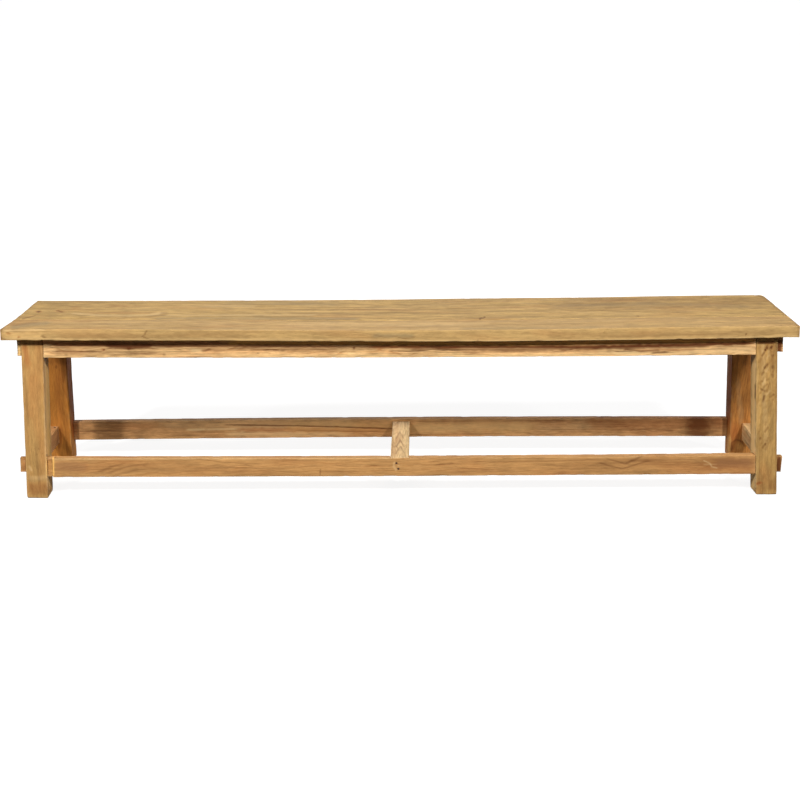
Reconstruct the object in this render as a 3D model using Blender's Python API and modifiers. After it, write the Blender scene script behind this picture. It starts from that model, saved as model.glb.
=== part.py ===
"""Rustic wooden bench: two reclaimed boards on a splayed, mortised underframe.

Metres, +Z up. +X is the bench's right hand end seen from the front, -Y is the front.
The underframe is drawn upright and then leaned outwards as one, so every rail stays
flush with the legs that it joins.
"""
import math

import bmesh
import bpy
from mathutils import Matrix, Vector

# Fit between two pieces that touch
FIT = 0.0003
OVERRUN = 0.010

# Seat: two boards side by side, worn, sagging a little between the legs
SEAT_LENGTH = 2.0085
SEAT_HEIGHT = 0.450
SEAT_THICKNESS = 0.0285
FRONT_BOARD_WIDTH = 0.113
REAR_BOARD_WIDTH = 0.237
SEAT_SAG = 0.007
SEAT_ARRIS = 0.003
SEAM_ARRIS = 0.0004
SEAT_CUTS = 23
# How far a board's end falls back from the seat's front corner: at the seam, at the rear edge
FRONT_BOARD_SETBACK_LEFT = 0.0100
FRONT_BOARD_SETBACK_RIGHT = 0.0002
REAR_BOARD_SETBACK_LEFT = 0.0104
REAR_BOARD_SETBACK_RIGHT = 0.0004
REAR_BOARD_SKEW_LEFT = 0.0058
REAR_BOARD_SKEW_RIGHT = 0.0004
# Rear edge of the rear board: place along the half length, board width there
REAR_EDGE_SHARES = (
    (-1.00, 0.944),
    (-0.81, 0.922),
    (-0.65, 0.961),
    (-0.33, 1.016),
    (-0.10, 1.067),
    (0.20, 1.103),
    (0.56, 1.068),
    (0.80, 1.088),
    (1.00, 1.100),
)

# Legs
LEG_WIDTH = 0.055
LEG_DEPTH = 0.059
LEG_ARRIS = 0.003
# The rear legs are cut from wider stock
REAR_LEG_EXTRA_INSIDE = 0.0015
REAR_LEG_EXTRA_OUTSIDE = 0.0030
END_OVERHANG_LEFT = 0.0446
END_OVERHANG_RIGHT = 0.0484
FRONT_OVERHANG = 0.023
UNDERFRAME_DEPTH = 0.304
SPLAY_LEFT = 0.010
SPLAY_RIGHT = 0.021
SPLAY_DEPTH = 0.0237

# Upper rails
RAIL_THICKNESS = 0.024
RAIL_ARRIS = 0.0016
APRON_HEIGHT = 0.0505
APRON_SAG = 0.003
APRON_CUTS = 15

# Lower rails
FRONT_STRETCHER_HEIGHT = 0.0499
FRONT_STRETCHER_BOTTOM = 0.0566
FRONT_STRETCHER_SAG = 0.0015
FRONT_STRETCHER_TOP_SAG = 0.0030
FRONT_STRETCHER_GAP = 0.0142
REAR_STRETCHER_HEIGHT = 0.0532
REAR_STRETCHER_BOTTOM = 0.0538
REAR_STRETCHER_CROWN = 0.0035
REAR_STRETCHER_TILT = 0.0022
STRETCHER_CUTS = 11
END_STRETCHER_HEIGHT = 0.049
END_STRETCHER_BOTTOM = 0.0580

# Tenons
TENON_THICKNESS = 0.014
TENON_ARRIS = 0.0022
APRON_TENON_BASE_LEFT = 0.0035
APRON_TENON_BASE_RIGHT = 0.0060
APRON_TENON_TOP = 0.004
APRON_STUB_LEFT = 0.0115
APRON_STUB_RIGHT = 0.0150
STRETCHER_TENON_BASE_LEFT = 0.0114
STRETCHER_TENON_BASE_RIGHT = 0.0034
STRETCHER_TENON_TOP_LEFT = 0.0004
STRETCHER_TENON_TOP_RIGHT = 0.0035
STRETCHER_STUB_LEFT = 0.0150
STRETCHER_STUB_RIGHT = 0.0148
HAUNCH_TRIM = 0.0008
BLIND_TENON_THICKNESS = 0.012
BLIND_TENON_LENGTH = 0.024
BLIND_TENON_SHOULDER = 0.007

# Rail that joins the two stretchers in the middle
CENTRE_RAIL_WIDTH = 0.047
CENTRE_RAIL_HEIGHT = 0.042
CENTRE_RAIL_OFFSET = -0.0002
CENTRE_RAIL_SKEW = 0.0031
CENTRE_RAIL_RISE = 0.0012
LAP_HEIGHT = 0.010
LAP_WALL = 0.0025
CENTRE_TENON_LENGTH = 0.010
CENTRE_TENON_SHOULDER = 0.009

# Rails across the underframe that carry the seat boards
SEAT_RAIL_WIDTH = 0.045
SEAT_RAIL_HEIGHT = 0.030
SEAT_RAIL_PLACE = 0.210
SEAT_RAIL_TENON_LENGTH = 0.010
SEAT_RAIL_TENON_SHOULDER = 0.006

# Slotted wood screws, driven up into the seat boards
SCREW_RADIUS = 0.0022
SCREW_HEAD_RADIUS = 0.0045
SCREW_HEAD_HEIGHT = 0.0028
SCREW_GRIP = 0.027
SCREW_BITE = 0.015
SCREW_POINT = 0.006
SCREW_SLOT_WIDTH = 0.0011
SCREW_SLOT_DEPTH = 0.0010
SCREW_PLACE_SHARE = 0.84

# Nails
NAIL_RADIUS = 0.0014
NAIL_HEAD_RADIUS = 0.0026
NAIL_HEAD_HEIGHT = 0.0012
NAIL_POINT = 0.004
NAIL_SINK = 0.0010
RAIL_NAIL_LENGTH = 0.058
RAIL_NAIL_UPPER = 0.0150
RAIL_NAIL_LOWER = 0.0300
RAIL_NAIL_UPPER_OFFSET = -0.0085
RAIL_NAIL_LOWER_OFFSET = -0.0035
TOE_NAIL_LENGTH = 0.036
TOE_NAIL_SETBACK = 0.0125
TOE_NAIL_INSET = 0.0075
TOE_NAIL_ANGLE = math.radians(42)
TURN_STEPS = 12

# Places that follow from the sizes above
UNDERSIDE = SEAT_HEIGHT - SEAT_THICKNESS
FRAME_TOP = UNDERSIDE - FIT
SEAT_FRONT = -FRONT_OVERHANG - UNDERFRAME_DEPTH / 2
SEAM = SEAT_FRONT + FRONT_BOARD_WIDTH
LEFT_OUTER = -SEAT_LENGTH / 2 + END_OVERHANG_LEFT
LEFT_INNER = LEFT_OUTER + LEG_WIDTH
RIGHT_OUTER = SEAT_LENGTH / 2 - END_OVERHANG_RIGHT
RIGHT_INNER = RIGHT_OUTER - LEG_WIDTH
FACE = UNDERFRAME_DEPTH / 2
LEG_INSIDE = FACE - LEG_DEPTH
RAIL_INSIDE = FACE - RAIL_THICKNESS
TENON_NEAR = RAIL_INSIDE + (RAIL_THICKNESS - TENON_THICKNESS) / 2
TENON_FAR = TENON_NEAR + TENON_THICKNESS
APRON_BOTTOM = FRAME_TOP - APRON_HEIGHT
FRONT_STRETCHER_TOP = FRONT_STRETCHER_BOTTOM + FRONT_STRETCHER_HEIGHT
REAR_STRETCHER_TOP = REAR_STRETCHER_BOTTOM + REAR_STRETCHER_HEIGHT
CENTRE_RAIL_TOP = FRONT_STRETCHER_TOP - FRONT_STRETCHER_TOP_SAG + CENTRE_RAIL_RISE
CENTRE_RAIL_BOTTOM = CENTRE_RAIL_TOP - CENTRE_RAIL_HEIGHT

WOODS = {
    "seat_board_front": (0.58, 0.40, 0.21),
    "seat_board_rear": (0.53, 0.36, 0.18),
    "leg_front_left": (0.50, 0.27, 0.085),
    "leg_front_right": (0.55, 0.33, 0.12),
    "leg_rear_left": (0.42, 0.20, 0.06),
    "leg_rear_right": (0.44, 0.22, 0.075),
    "apron_front": (0.66, 0.44, 0.20),
    "apron_rear": (0.58, 0.37, 0.16),
    "end_rail_left": (0.50, 0.30, 0.12),
    "end_rail_right": (0.52, 0.31, 0.12),
    "seat_cross_rail_left": (0.55, 0.36, 0.16),
    "seat_cross_rail_right": (0.55, 0.36, 0.16),
    "stretcher_front": (0.50, 0.27, 0.10),
    "stretcher_rear": (0.40, 0.21, 0.085),
    "end_stretcher_left": (0.48, 0.27, 0.11),
    "end_stretcher_right": (0.52, 0.32, 0.14),
    "centre_rail": (0.70, 0.49, 0.22),
}
STEEL = (0.20, 0.16, 0.13)
IRON = (0.09, 0.055, 0.04)
HANDS = ((-1, "left"), (1, "right"))
ENDS = ((-1, "front"), (1, "rear"))


def seat_drop(x):
    """How far the seat has sagged at a place along it; nothing over the legs."""
    span = -LEFT_INNER if x < 0 else RIGHT_INNER
    share = min(abs(x) / span, 1.0)
    return SEAT_SAG * (1 - share * share) ** 2


def bow(x, amount):
    """A plain bow of a long rail between the legs."""
    span = -LEFT_INNER if x < 0 else RIGHT_INNER
    share = min(abs(x) / span, 1.0)
    return amount * (1 - share * share)


def lean(x, y, z):
    """Splay a point of the upright underframe outwards, more towards the floor."""
    fall = 1 - z / UNDERSIDE
    inner, splay = (-LEFT_INNER, SPLAY_LEFT) if x < 0 else (RIGHT_INNER, SPLAY_RIGHT)
    along = max(-1.0, min(1.0, x / inner))
    across = max(-1.0, min(1.0, y / LEG_INSIDE))
    return x + along * splay * fall, y + across * SPLAY_DEPTH * fall, z


def rear_board_width(x):
    """Width of the rear board, eased between the stations of its waney edge."""
    place = max(-1.0, min(1.0, x / (SEAT_LENGTH / 2)))
    for (left, low), (right, high) in zip(REAR_EDGE_SHARES, REAR_EDGE_SHARES[1:]):
        if place <= right:
            step = (place - left) / (right - left)
            step = step * step * (3 - 2 * step)
            return REAR_BOARD_WIDTH * (low + (high - low) * step)
    return REAR_BOARD_WIDTH * REAR_EDGE_SHARES[-1][1]


def front_board_setback(side, y):
    """The boards' ends are sawn a little out of square, each board by itself."""
    setback = FRONT_BOARD_SETBACK_LEFT if side < 0 else FRONT_BOARD_SETBACK_RIGHT
    return setback * (y - SEAT_FRONT) / FRONT_BOARD_WIDTH


def rear_board_setback(side, y):
    setback = REAR_BOARD_SETBACK_LEFT if side < 0 else REAR_BOARD_SETBACK_RIGHT
    skew = REAR_BOARD_SKEW_LEFT if side < 0 else REAR_BOARD_SKEW_RIGHT
    return setback + skew * (y - SEAM) / REAR_BOARD_WIDTH


def set_back(x, setback):
    """A place along a board whose end is set back, evenly from the middle on."""
    return x * (1 - setback / (SEAT_LENGTH / 2))


def clear_scene():
    for thing in list(bpy.data.objects):
        bpy.data.objects.remove(thing, do_unlink=True)


def new_collection(name):
    collection = bpy.data.collections.new(name)
    bpy.context.scene.collection.children.link(collection)
    return collection


def surface(name, colour, roughness, metallic=0.0):
    material = bpy.data.materials.new(name)
    material.use_nodes = True
    shader = material.node_tree.nodes["Principled BSDF"]
    shader.inputs["Base Color"].default_value = (*colour, 1.0)
    shader.inputs["Roughness"].default_value = roughness
    shader.inputs["Metallic"].default_value = metallic
    return material


def block_mesh(name, blocks, shape=None, cuts=0):
    """One mesh of boxes, each between two corners, cut along X, its points then shaped."""
    joined = bmesh.new()
    for low, high in blocks:
        low, high = Vector(low), Vector(high)
        box = bmesh.new()
        bmesh.ops.create_cube(box, size=1.0)
        for vertex in box.verts:
            for axis in range(3):
                vertex.co[axis] = low[axis] if vertex.co[axis] < 0 else high[axis]
        if cuts:
            lengthwise = [edge for edge in box.edges
                          if edge.verts[0].co.x * edge.verts[1].co.x < 0]
            bmesh.ops.subdivide_edges(box, edges=lengthwise, cuts=cuts, use_grid_fill=True)
        for vertex in box.verts:
            if shape:
                vertex.co = shape(*vertex.co)
        piece = bpy.data.meshes.new(name)
        box.to_mesh(piece)
        box.free()
        joined.from_mesh(piece)
        bpy.data.meshes.remove(piece)
    mesh = bpy.data.meshes.new(name)
    joined.to_mesh(mesh)
    joined.free()
    return mesh


def add(name, mesh, collection, material=None):
    thing = bpy.data.objects.new(name, mesh)
    collection.objects.link(thing)
    thing.parent = BENCH
    if material:
        mesh.materials.clear()
        mesh.materials.append(material)
    return thing


def helper(name, mesh):
    """A cutter, or a shape that a union adds: it is never shown by itself."""
    thing = add(name, mesh, CUTTERS)
    thing.hide_render = True
    thing.display_type = "WIRE"
    return thing


def timber(name, mesh, arris, seam=None):
    """A piece of wood with eased edges; edges at the seam stay crisp."""
    thing = add(name, mesh, PARTS, surface(name, WOODS[name], 0.62))
    ease(thing, arris, seam)
    return thing


def ease(thing, arris, seam=None):
    mesh = thing.data
    mesh.attributes.new("bevel_weight_edge", "FLOAT", "EDGE")
    work = bmesh.new()
    work.from_mesh(mesh)
    layer = work.edges.layers.float["bevel_weight_edge"]
    for edge in work.edges:
        corner = edge.calc_face_angle(0.0) > math.radians(35)
        crisp = seam is not None and all(abs(v.co.y - seam) < FIT for v in edge.verts)
        edge[layer] = 0.0 if not corner else SEAM_ARRIS / arris if crisp else 1.0
    work.to_mesh(mesh)
    work.free()
    bevel = thing.modifiers.new("eased edges", "BEVEL")
    bevel.width = arris
    bevel.segments = 2
    bevel.limit_method = "WEIGHT"


def combine(thing, other, operation):
    boolean = thing.modifiers.new(other.name, "BOOLEAN")
    boolean.operation = operation
    boolean.solver = "EXACT"
    boolean.object = other


def turned_mesh(name, profile, slot=None):
    """Solid of revolution about Z, its outer side drawn from the top down."""
    mesh = bpy.data.meshes.new(name)
    points = [(radius, 0.0, height) for radius, height in profile]
    mesh.from_pydata(points, [(i, i + 1) for i in range(len(points) - 1)], [])
    thing = helper(name, mesh)
    screw = thing.modifiers.new("turned", "SCREW")
    screw.steps = TURN_STEPS
    screw.render_steps = TURN_STEPS
    screw.use_merge_vertices = True
    screw.merge_threshold = 0.00001
    if slot:
        combine(thing, slot, "DIFFERENCE")
    bpy.context.view_layer.update()
    evaluated = thing.evaluated_get(bpy.context.evaluated_depsgraph_get())
    solid = bpy.data.meshes.new_from_object(evaluated)
    bpy.data.objects.remove(thing, do_unlink=True)
    return solid


def copies(name, mesh, placements):
    """One mesh that holds a copy of a solid at each placement."""
    joined = bmesh.new()
    for placement in placements:
        moved = mesh.copy()
        moved.transform(placement)
        joined.from_mesh(moved)
        bpy.data.meshes.remove(moved)
    result = bpy.data.meshes.new(name)
    joined.to_mesh(result)
    joined.free()
    return result


def fastener(name, mesh, place, material):
    thing = add(name, mesh, PARTS, material)
    thing.matrix_basis = place
    return thing


def grown(low, high, clearance=FIT):
    """The room that a tenon needs: its own box and the fit all round."""
    return [value - clearance for value in low], [value + clearance for value in high]


def across_extent(front_back, near, far):
    """A range of Y at a distance from the middle, on the front or the rear side."""
    return (-far, -near) if front_back < 0 else (near, far)


def long_tenon(side, front_back, bottom, top, stub):
    """Through tenon of an apron or a stretcher, from inside the rail to past the leg."""
    low_y, high_y = across_extent(front_back, TENON_NEAR, TENON_FAR)
    reach = sorted((leg_inner(side) - side * OVERRUN, leg_outer(side) + side * stub))
    return (reach[0], low_y, bottom), (reach[1], high_y, top)


def leg_outer(side):
    return LEFT_OUTER if side < 0 else RIGHT_OUTER


def leg_inner(side):
    return LEFT_INNER if side < 0 else RIGHT_INNER


def rail_end(side, front_back):
    """Inner face of a leg; the long rails of that side of the bench end there."""
    return leg_inner(side) - side * (REAR_LEG_EXTRA_INSIDE if front_back > 0 else 0.0)


def leg_back(side, front_back):
    """Outer face of a leg."""
    return leg_outer(side) + side * (REAR_LEG_EXTRA_OUTSIDE if front_back > 0 else 0.0)


def end_rail_extent(side):
    """The rails at the ends lie flush with the legs' outer faces."""
    return sorted((leg_outer(side), leg_outer(side) - side * RAIL_THICKNESS))


def blind_tenon(side, front_back, bottom, top):
    low_x, high_x = end_rail_extent(side)
    inset = (RAIL_THICKNESS - BLIND_TENON_THICKNESS) / 2
    low_y, high_y = across_extent(front_back, LEG_INSIDE - OVERRUN, LEG_INSIDE + BLIND_TENON_LENGTH)
    return ((low_x + inset, low_y, bottom + BLIND_TENON_SHOULDER),
            (high_x - inset, high_y, top - BLIND_TENON_SHOULDER))


def apron_tenon(side, front_back):
    base = APRON_TENON_BASE_LEFT if side < 0 else APRON_TENON_BASE_RIGHT
    stub = APRON_STUB_LEFT if side < 0 else APRON_STUB_RIGHT
    return long_tenon(side, front_back, APRON_BOTTOM + base, FRAME_TOP - APRON_TENON_TOP, stub)


def stretcher_range(front_back):
    if front_back < 0:
        return FRONT_STRETCHER_BOTTOM, FRONT_STRETCHER_TOP
    return REAR_STRETCHER_BOTTOM, REAR_STRETCHER_TOP


def stretcher_tenon(side, front_back):
    bottom, top = stretcher_range(front_back)
    if side < 0:
        return long_tenon(side, front_back, bottom + STRETCHER_TENON_BASE_LEFT,
                          top - STRETCHER_TENON_TOP_LEFT, STRETCHER_STUB_LEFT)
    return long_tenon(side, front_back, bottom + STRETCHER_TENON_BASE_RIGHT,
                      top - STRETCHER_TENON_TOP_RIGHT, STRETCHER_STUB_RIGHT)


def end_rail_tenon(side, front_back):
    return blind_tenon(side, front_back, APRON_BOTTOM, FRAME_TOP)


def end_stretcher_tenon(side, front_back):
    top = END_STRETCHER_BOTTOM + END_STRETCHER_HEIGHT
    return blind_tenon(side, front_back, END_STRETCHER_BOTTOM, top)


def make_seat():
    def front_shape(x, y, z):
        setback = front_board_setback(-1 if x < 0 else 1, y)
        return set_back(x, setback), y, z - seat_drop(x)

    def rear_shape(x, y, z):
        setback = rear_board_setback(-1 if x < 0 else 1, y)
        if y > SEAM + REAR_BOARD_WIDTH / 2:
            y = SEAM + rear_board_width(x)
        return set_back(x, setback), y, z - seat_drop(x)

    half = SEAT_LENGTH / 2
    front = block_mesh("seat_board_front", [((-half, SEAT_FRONT, UNDERSIDE),
                                             (half, SEAM, SEAT_HEIGHT))], front_shape, SEAT_CUTS)
    rear = block_mesh("seat_board_rear", [((-half, SEAM + FIT, UNDERSIDE),
                                           (half, SEAM + REAR_BOARD_WIDTH, SEAT_HEIGHT))],
                      rear_shape, SEAT_CUTS)
    return (timber("seat_board_front", front, SEAT_ARRIS, SEAM),
            timber("seat_board_rear", rear, SEAT_ARRIS, SEAM + FIT))


def make_leg(name, side, front_back):
    low_x, high_x = sorted((rail_end(side, front_back), leg_back(side, front_back)))
    low_y, high_y = across_extent(front_back, LEG_INSIDE, FACE)
    mesh = block_mesh(name, [((low_x, low_y, 0.0), (high_x, high_y, FRAME_TOP))], lean)
    leg = timber(name, mesh, LEG_ARRIS)
    tenons = [apron_tenon(side, front_back), stretcher_tenon(side, front_back),
              end_rail_tenon(side, front_back), end_stretcher_tenon(side, front_back)]
    rooms = []
    for index, (low, high) in enumerate(tenons):
        low, high = grown(low, high)
        if index < 2:
            low[0], high[0] = low[0] - OVERRUN, high[0] + OVERRUN
        rooms.append((low, high))
    combine(leg, helper(name + "_mortises", block_mesh(name + "_mortises", rooms, lean)), "DIFFERENCE")
    return leg


def tenons_of(name, blocks, shape=lean):
    thing = helper(name + "_tenons", block_mesh(name + "_tenons", blocks, shape))
    ease(thing, TENON_ARRIS)
    return thing


def make_apron(name, front_back):
    low_y, high_y = across_extent(front_back, RAIL_INSIDE, FACE)

    def shape(x, y, z):
        drop = seat_drop(x) if z > APRON_BOTTOM + APRON_HEIGHT / 2 else bow(x, APRON_SAG)
        x, y, z = lean(x, y, z)
        return x, y, z - drop

    start, stop = rail_end(-1, front_back) + FIT, rail_end(1, front_back) - FIT
    mesh = block_mesh(name, [((start, low_y, APRON_BOTTOM), (stop, high_y, FRAME_TOP))], shape, APRON_CUTS)
    apron = timber(name, mesh, RAIL_ARRIS)
    combine(apron, tenons_of(name, [apron_tenon(side, front_back) for side in (-1, 1)]), "UNION")
    rooms = [grown(*seat_rail_tenon(place, front_back)) for place in seat_rail_places()]
    sockets = helper(name + "_sockets", block_mesh(name + "_sockets", rooms, seat_rail_shape))
    combine(apron, sockets, "DIFFERENCE")
    return apron


def make_stretcher(name, front_back):
    bottom, top = stretcher_range(front_back)
    low_y, high_y = across_extent(front_back, RAIL_INSIDE, FACE)
    left_shoulder = rail_end(-1, front_back) + (FRONT_STRETCHER_GAP if front_back < 0 else FIT)
    right_shoulder = rail_end(1, front_back) - FIT

    def drop(x, z):
        if front_back < 0:
            return bow(x, FRONT_STRETCHER_TOP_SAG if z > (bottom + top) / 2 else FRONT_STRETCHER_SAG)
        along = (x - left_shoulder) / (right_shoulder - left_shoulder)
        return -bow(x, REAR_STRETCHER_CROWN) - REAR_STRETCHER_TILT * along

    def shape(x, y, z):
        fall = drop(x, z)
        x, y, z = lean(x, y, z)
        return x, y, z - fall

    mesh = block_mesh(name, [((left_shoulder, low_y, bottom),
                              (right_shoulder, high_y, top))], shape, STRETCHER_CUTS)
    stretcher = timber(name, mesh, RAIL_ARRIS)
    combine(stretcher, tenons_of(name, [stretcher_tenon(s, front_back) for s in (-1, 1)]), "UNION")
    if front_back < 0:
        near, far = across_extent(front_back, TENON_NEAR - HAUNCH_TRIM, TENON_FAR + HAUNCH_TRIM)
        haunch = [((LEFT_INNER + FIT, near, bottom + HAUNCH_TRIM),
                   (left_shoulder + OVERRUN, far, top - HAUNCH_TRIM))]
        combine(stretcher, helper("haunch", block_mesh("haunch", haunch, lean)), "UNION")
    return stretcher


def make_end_rail(name, side, bottom, top, tenon):
    low_x, high_x = end_rail_extent(side)
    body = [((low_x, -LEG_INSIDE + FIT, bottom), (high_x, LEG_INSIDE - FIT, top))]
    rail = timber(name, block_mesh(name, body, lean), RAIL_ARRIS)
    combine(rail, tenons_of(name, [tenon(side, end) for end in (-1, 1)]), "UNION")
    return rail


def seat_rail_places():
    return -SEAT_RAIL_PLACE, SEAT_RAIL_PLACE


def seat_rail_shape(x, y, z):
    drop = seat_drop(x)
    x, y, z = lean(x, y, z)
    return x, y, z - drop


def seat_rail_tenon(place, front_back):
    low_y, high_y = across_extent(front_back, RAIL_INSIDE - OVERRUN,
                                  RAIL_INSIDE + SEAT_RAIL_TENON_LENGTH)
    half = SEAT_RAIL_WIDTH / 2 - SEAT_RAIL_TENON_SHOULDER
    return ((place - half, low_y, FRAME_TOP - SEAT_RAIL_HEIGHT + SEAT_RAIL_TENON_SHOULDER),
            (place + half, high_y, FRAME_TOP - SEAT_RAIL_TENON_SHOULDER))


def make_seat_rail(name, place):
    half = SEAT_RAIL_WIDTH / 2
    body = [((place - half, -RAIL_INSIDE + FIT, FRAME_TOP - SEAT_RAIL_HEIGHT),
             (place + half, RAIL_INSIDE - FIT, FRAME_TOP))]
    rail = timber(name, block_mesh(name, body, seat_rail_shape), RAIL_ARRIS)
    ends = [seat_rail_tenon(place, end) for end in (-1, 1)]
    combine(rail, tenons_of(name, ends, seat_rail_shape), "UNION")
    return rail


def centre_rail_shape(x, y, z):
    share = y / RAIL_INSIDE
    x, y, z = lean(x + CENTRE_RAIL_OFFSET + CENTRE_RAIL_SKEW * share, y, z)
    return x, y, z + CENTRE_RAIL_RISE * share


def make_centre_rail(front, rear):
    """Lapped into the front stretcher's top edge and tenoned into the rear stretcher."""
    half = CENTRE_RAIL_WIDTH / 2
    body = [((-half, -RAIL_INSIDE + FIT, CENTRE_RAIL_BOTTOM), (half, RAIL_INSIDE - FIT, CENTRE_RAIL_TOP))]
    lap = ((-half, -FACE + LAP_WALL, CENTRE_RAIL_TOP - LAP_HEIGHT),
           (half, -RAIL_INSIDE + OVERRUN, CENTRE_RAIL_TOP))
    shoulder = CENTRE_TENON_SHOULDER
    tenon = ((-half + shoulder, RAIL_INSIDE - OVERRUN, CENTRE_RAIL_BOTTOM + shoulder),
             (half - shoulder, RAIL_INSIDE + CENTRE_TENON_LENGTH, CENTRE_RAIL_TOP - shoulder))
    rail = timber("centre_rail", block_mesh("centre_rail", body, centre_rail_shape), RAIL_ARRIS)
    for name, block in (("centre_rail_lap", lap), ("centre_rail_tenon", tenon)):
        combine(rail, helper(name, block_mesh(name, [block], centre_rail_shape)), "UNION")
    notch_low, notch_high = grown(*lap)
    notch_high[1] += OVERRUN
    notch_high[2] += OVERRUN
    notch = helper("lap_notch", block_mesh("lap_notch", [(notch_low, notch_high)], centre_rail_shape))
    combine(front, notch, "DIFFERENCE")
    socket = helper("centre_socket", block_mesh("centre_socket", [grown(*tenon)], centre_rail_shape))
    combine(rear, socket, "DIFFERENCE")
    return rail


def screw_profile(growth, below):
    """Countersunk screw, point up, its head's underside on Z = 0; growth turns it into its hole."""
    length = SCREW_GRIP + SCREW_BITE
    radius = SCREW_RADIUS + growth
    head = SCREW_HEAD_RADIUS + growth
    return [(0.0, length + growth),
            (radius, length - SCREW_POINT + growth),
            (radius, SCREW_HEAD_HEIGHT),
            (head, growth),
            (head, -below),
            (0.0, -below)]


def make_screws(boards, rails):
    slot_low = (-SCREW_HEAD_RADIUS - OVERRUN, -SCREW_SLOT_WIDTH / 2, -OVERRUN)
    slot_high = (SCREW_HEAD_RADIUS + OVERRUN, SCREW_SLOT_WIDTH / 2, SCREW_SLOT_DEPTH - FIT)
    slot = helper("screw_slot", block_mesh("screw_slot", [(slot_low, slot_high)]))
    screw = turned_mesh("screw", screw_profile(0.0, FIT), slot)
    hole = turned_mesh("screw_hole", screw_profile(FIT, APRON_HEIGHT))
    reach = LEG_INSIDE * SCREW_PLACE_SHARE
    middles = {f"end_{hand}": sum(end_rail_extent(side)) / 2 for side, hand in HANDS}
    middles.update({f"cross_{hand}": place for (_, hand), place in zip(HANDS, seat_rail_places())})
    steel = surface("screw_steel", STEEL, 0.45, 0.9)
    places = []
    for rail_name, x in middles.items():
        start = FRAME_TOP - seat_drop(x) - SCREW_GRIP
        for row, y in (("front", -reach), ("middle", 0.0), ("rear", reach)):
            place = Matrix.Translation((x, y, start))
            fastener(f"seat_screw_{rail_name}_{row}", screw, place, steel)
            places.append(place)
    holes = helper("seat_screw_holes", copies("seat_screw_holes", hole, places))
    for thing in (*boards, *rails):
        combine(thing, holes, "DIFFERENCE")


def nail_profile(length, growth, above):
    """Nail, point down, its head's top on Z = 0; growth turns it into its hole."""
    return [(0.0, above),
            (NAIL_HEAD_RADIUS + growth, above),
            (NAIL_HEAD_RADIUS + growth, -NAIL_HEAD_HEIGHT - growth),
            (NAIL_RADIUS + growth, -NAIL_HEAD_HEIGHT - growth),
            (NAIL_RADIUS + growth, NAIL_POINT - length),
            (0.0, -length - growth)]


def make_nails(length, places, pieces):
    nail = turned_mesh("nail", nail_profile(length, 0.0, 0.0))
    hole = turned_mesh("nail_hole", nail_profile(length, FIT, OVERRUN))
    iron = surface("nail_iron", IRON, 0.6, 0.8)
    for name, place in places.items():
        fastener(name, nail, place, iron)
    holes = helper("nail_holes", copies("nail_holes", hole, places.values()))
    for thing in pieces:
        combine(thing, holes, "DIFFERENCE")


def rail_nail_places(front_back):
    """Two nails through a stretcher's outer face into the end of the centre rail."""
    turn = Matrix.Rotation(math.radians(90) * front_back, 4, "X")
    end = "front" if front_back < 0 else "rear"
    places = {}
    for row, below, offset in (("upper", RAIL_NAIL_UPPER, RAIL_NAIL_UPPER_OFFSET),
                               ("lower", RAIL_NAIL_LOWER, RAIL_NAIL_LOWER_OFFSET)):
        height = CENTRE_RAIL_TOP - below
        x = CENTRE_RAIL_OFFSET + front_back * CENTRE_RAIL_SKEW + offset
        _, y, _ = lean(x, front_back * FACE, height)
        place = Matrix.Translation((x, y - front_back * NAIL_SINK, height)) @ turn.inverted()
        places[f"centre_rail_nail_{end}_{row}"] = place
    return places


def toe_nail_place():
    """A slanting nail from the left end stretcher's top into the rear leg."""
    x = end_rail_extent(-1)[1] - TOE_NAIL_INSET
    top = END_STRETCHER_BOTTOM + END_STRETCHER_HEIGHT
    x, y, z = lean(x, LEG_INSIDE - FIT, top)
    slant = Matrix.Rotation(TOE_NAIL_ANGLE, 4, "X")
    return Matrix.Translation((x, y - TOE_NAIL_SETBACK, z - NAIL_SINK)) @ slant


def box_middle():
    """Middle of the depth seen from above: the seat, or the feet where they reach further."""
    foot = FACE + SPLAY_DEPTH * (1 - LEG_ARRIS / UNDERSIDE)
    widest = max(share for _, share in REAR_EDGE_SHARES) * REAR_BOARD_WIDTH
    return (min(SEAT_FRONT, -foot) + max(SEAM + widest, foot)) / 2


clear_scene()
PARTS = new_collection("wooden_bench")
CUTTERS = new_collection("wooden_bench_cutters")
BENCH = bpy.data.objects.new("bench_origin", None)
PARTS.objects.link(BENCH)
BENCH.location = (0.0, -box_middle(), 0.0)
bpy.context.view_layer.update()

seat_boards = make_seat()
legs = {}
end_rails = []
end_stretchers = []
for side, hand in HANDS:
    for front_back, end in ENDS:
        legs[end, hand] = make_leg(f"leg_{end}_{hand}", side, front_back)
    end_rails.append(make_end_rail(f"end_rail_{hand}", side, APRON_BOTTOM, FRAME_TOP, end_rail_tenon))
    end_stretchers.append(make_end_rail(f"end_stretcher_{hand}", side, END_STRETCHER_BOTTOM,
                                        END_STRETCHER_BOTTOM + END_STRETCHER_HEIGHT,
                                        end_stretcher_tenon))
for front_back, end in ENDS:
    make_apron(f"apron_{end}", front_back)
stretchers = [make_stretcher(f"stretcher_{end}", front_back) for front_back, end in ENDS]
seat_rails = [make_seat_rail(f"seat_cross_rail_{hand}", place)
              for (_, hand), place in zip(HANDS, seat_rail_places())]
centre_rail = make_centre_rail(*stretchers)
make_screws(seat_boards, (*end_rails, *seat_rails))
for (front_back, _), stretcher in zip(ENDS, stretchers):
    make_nails(RAIL_NAIL_LENGTH, rail_nail_places(front_back), (stretcher, centre_rail))
make_nails(TOE_NAIL_LENGTH, {"end_stretcher_nail": toe_nail_place()},
           (end_stretchers[0], legs["rear", "left"]))
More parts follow.
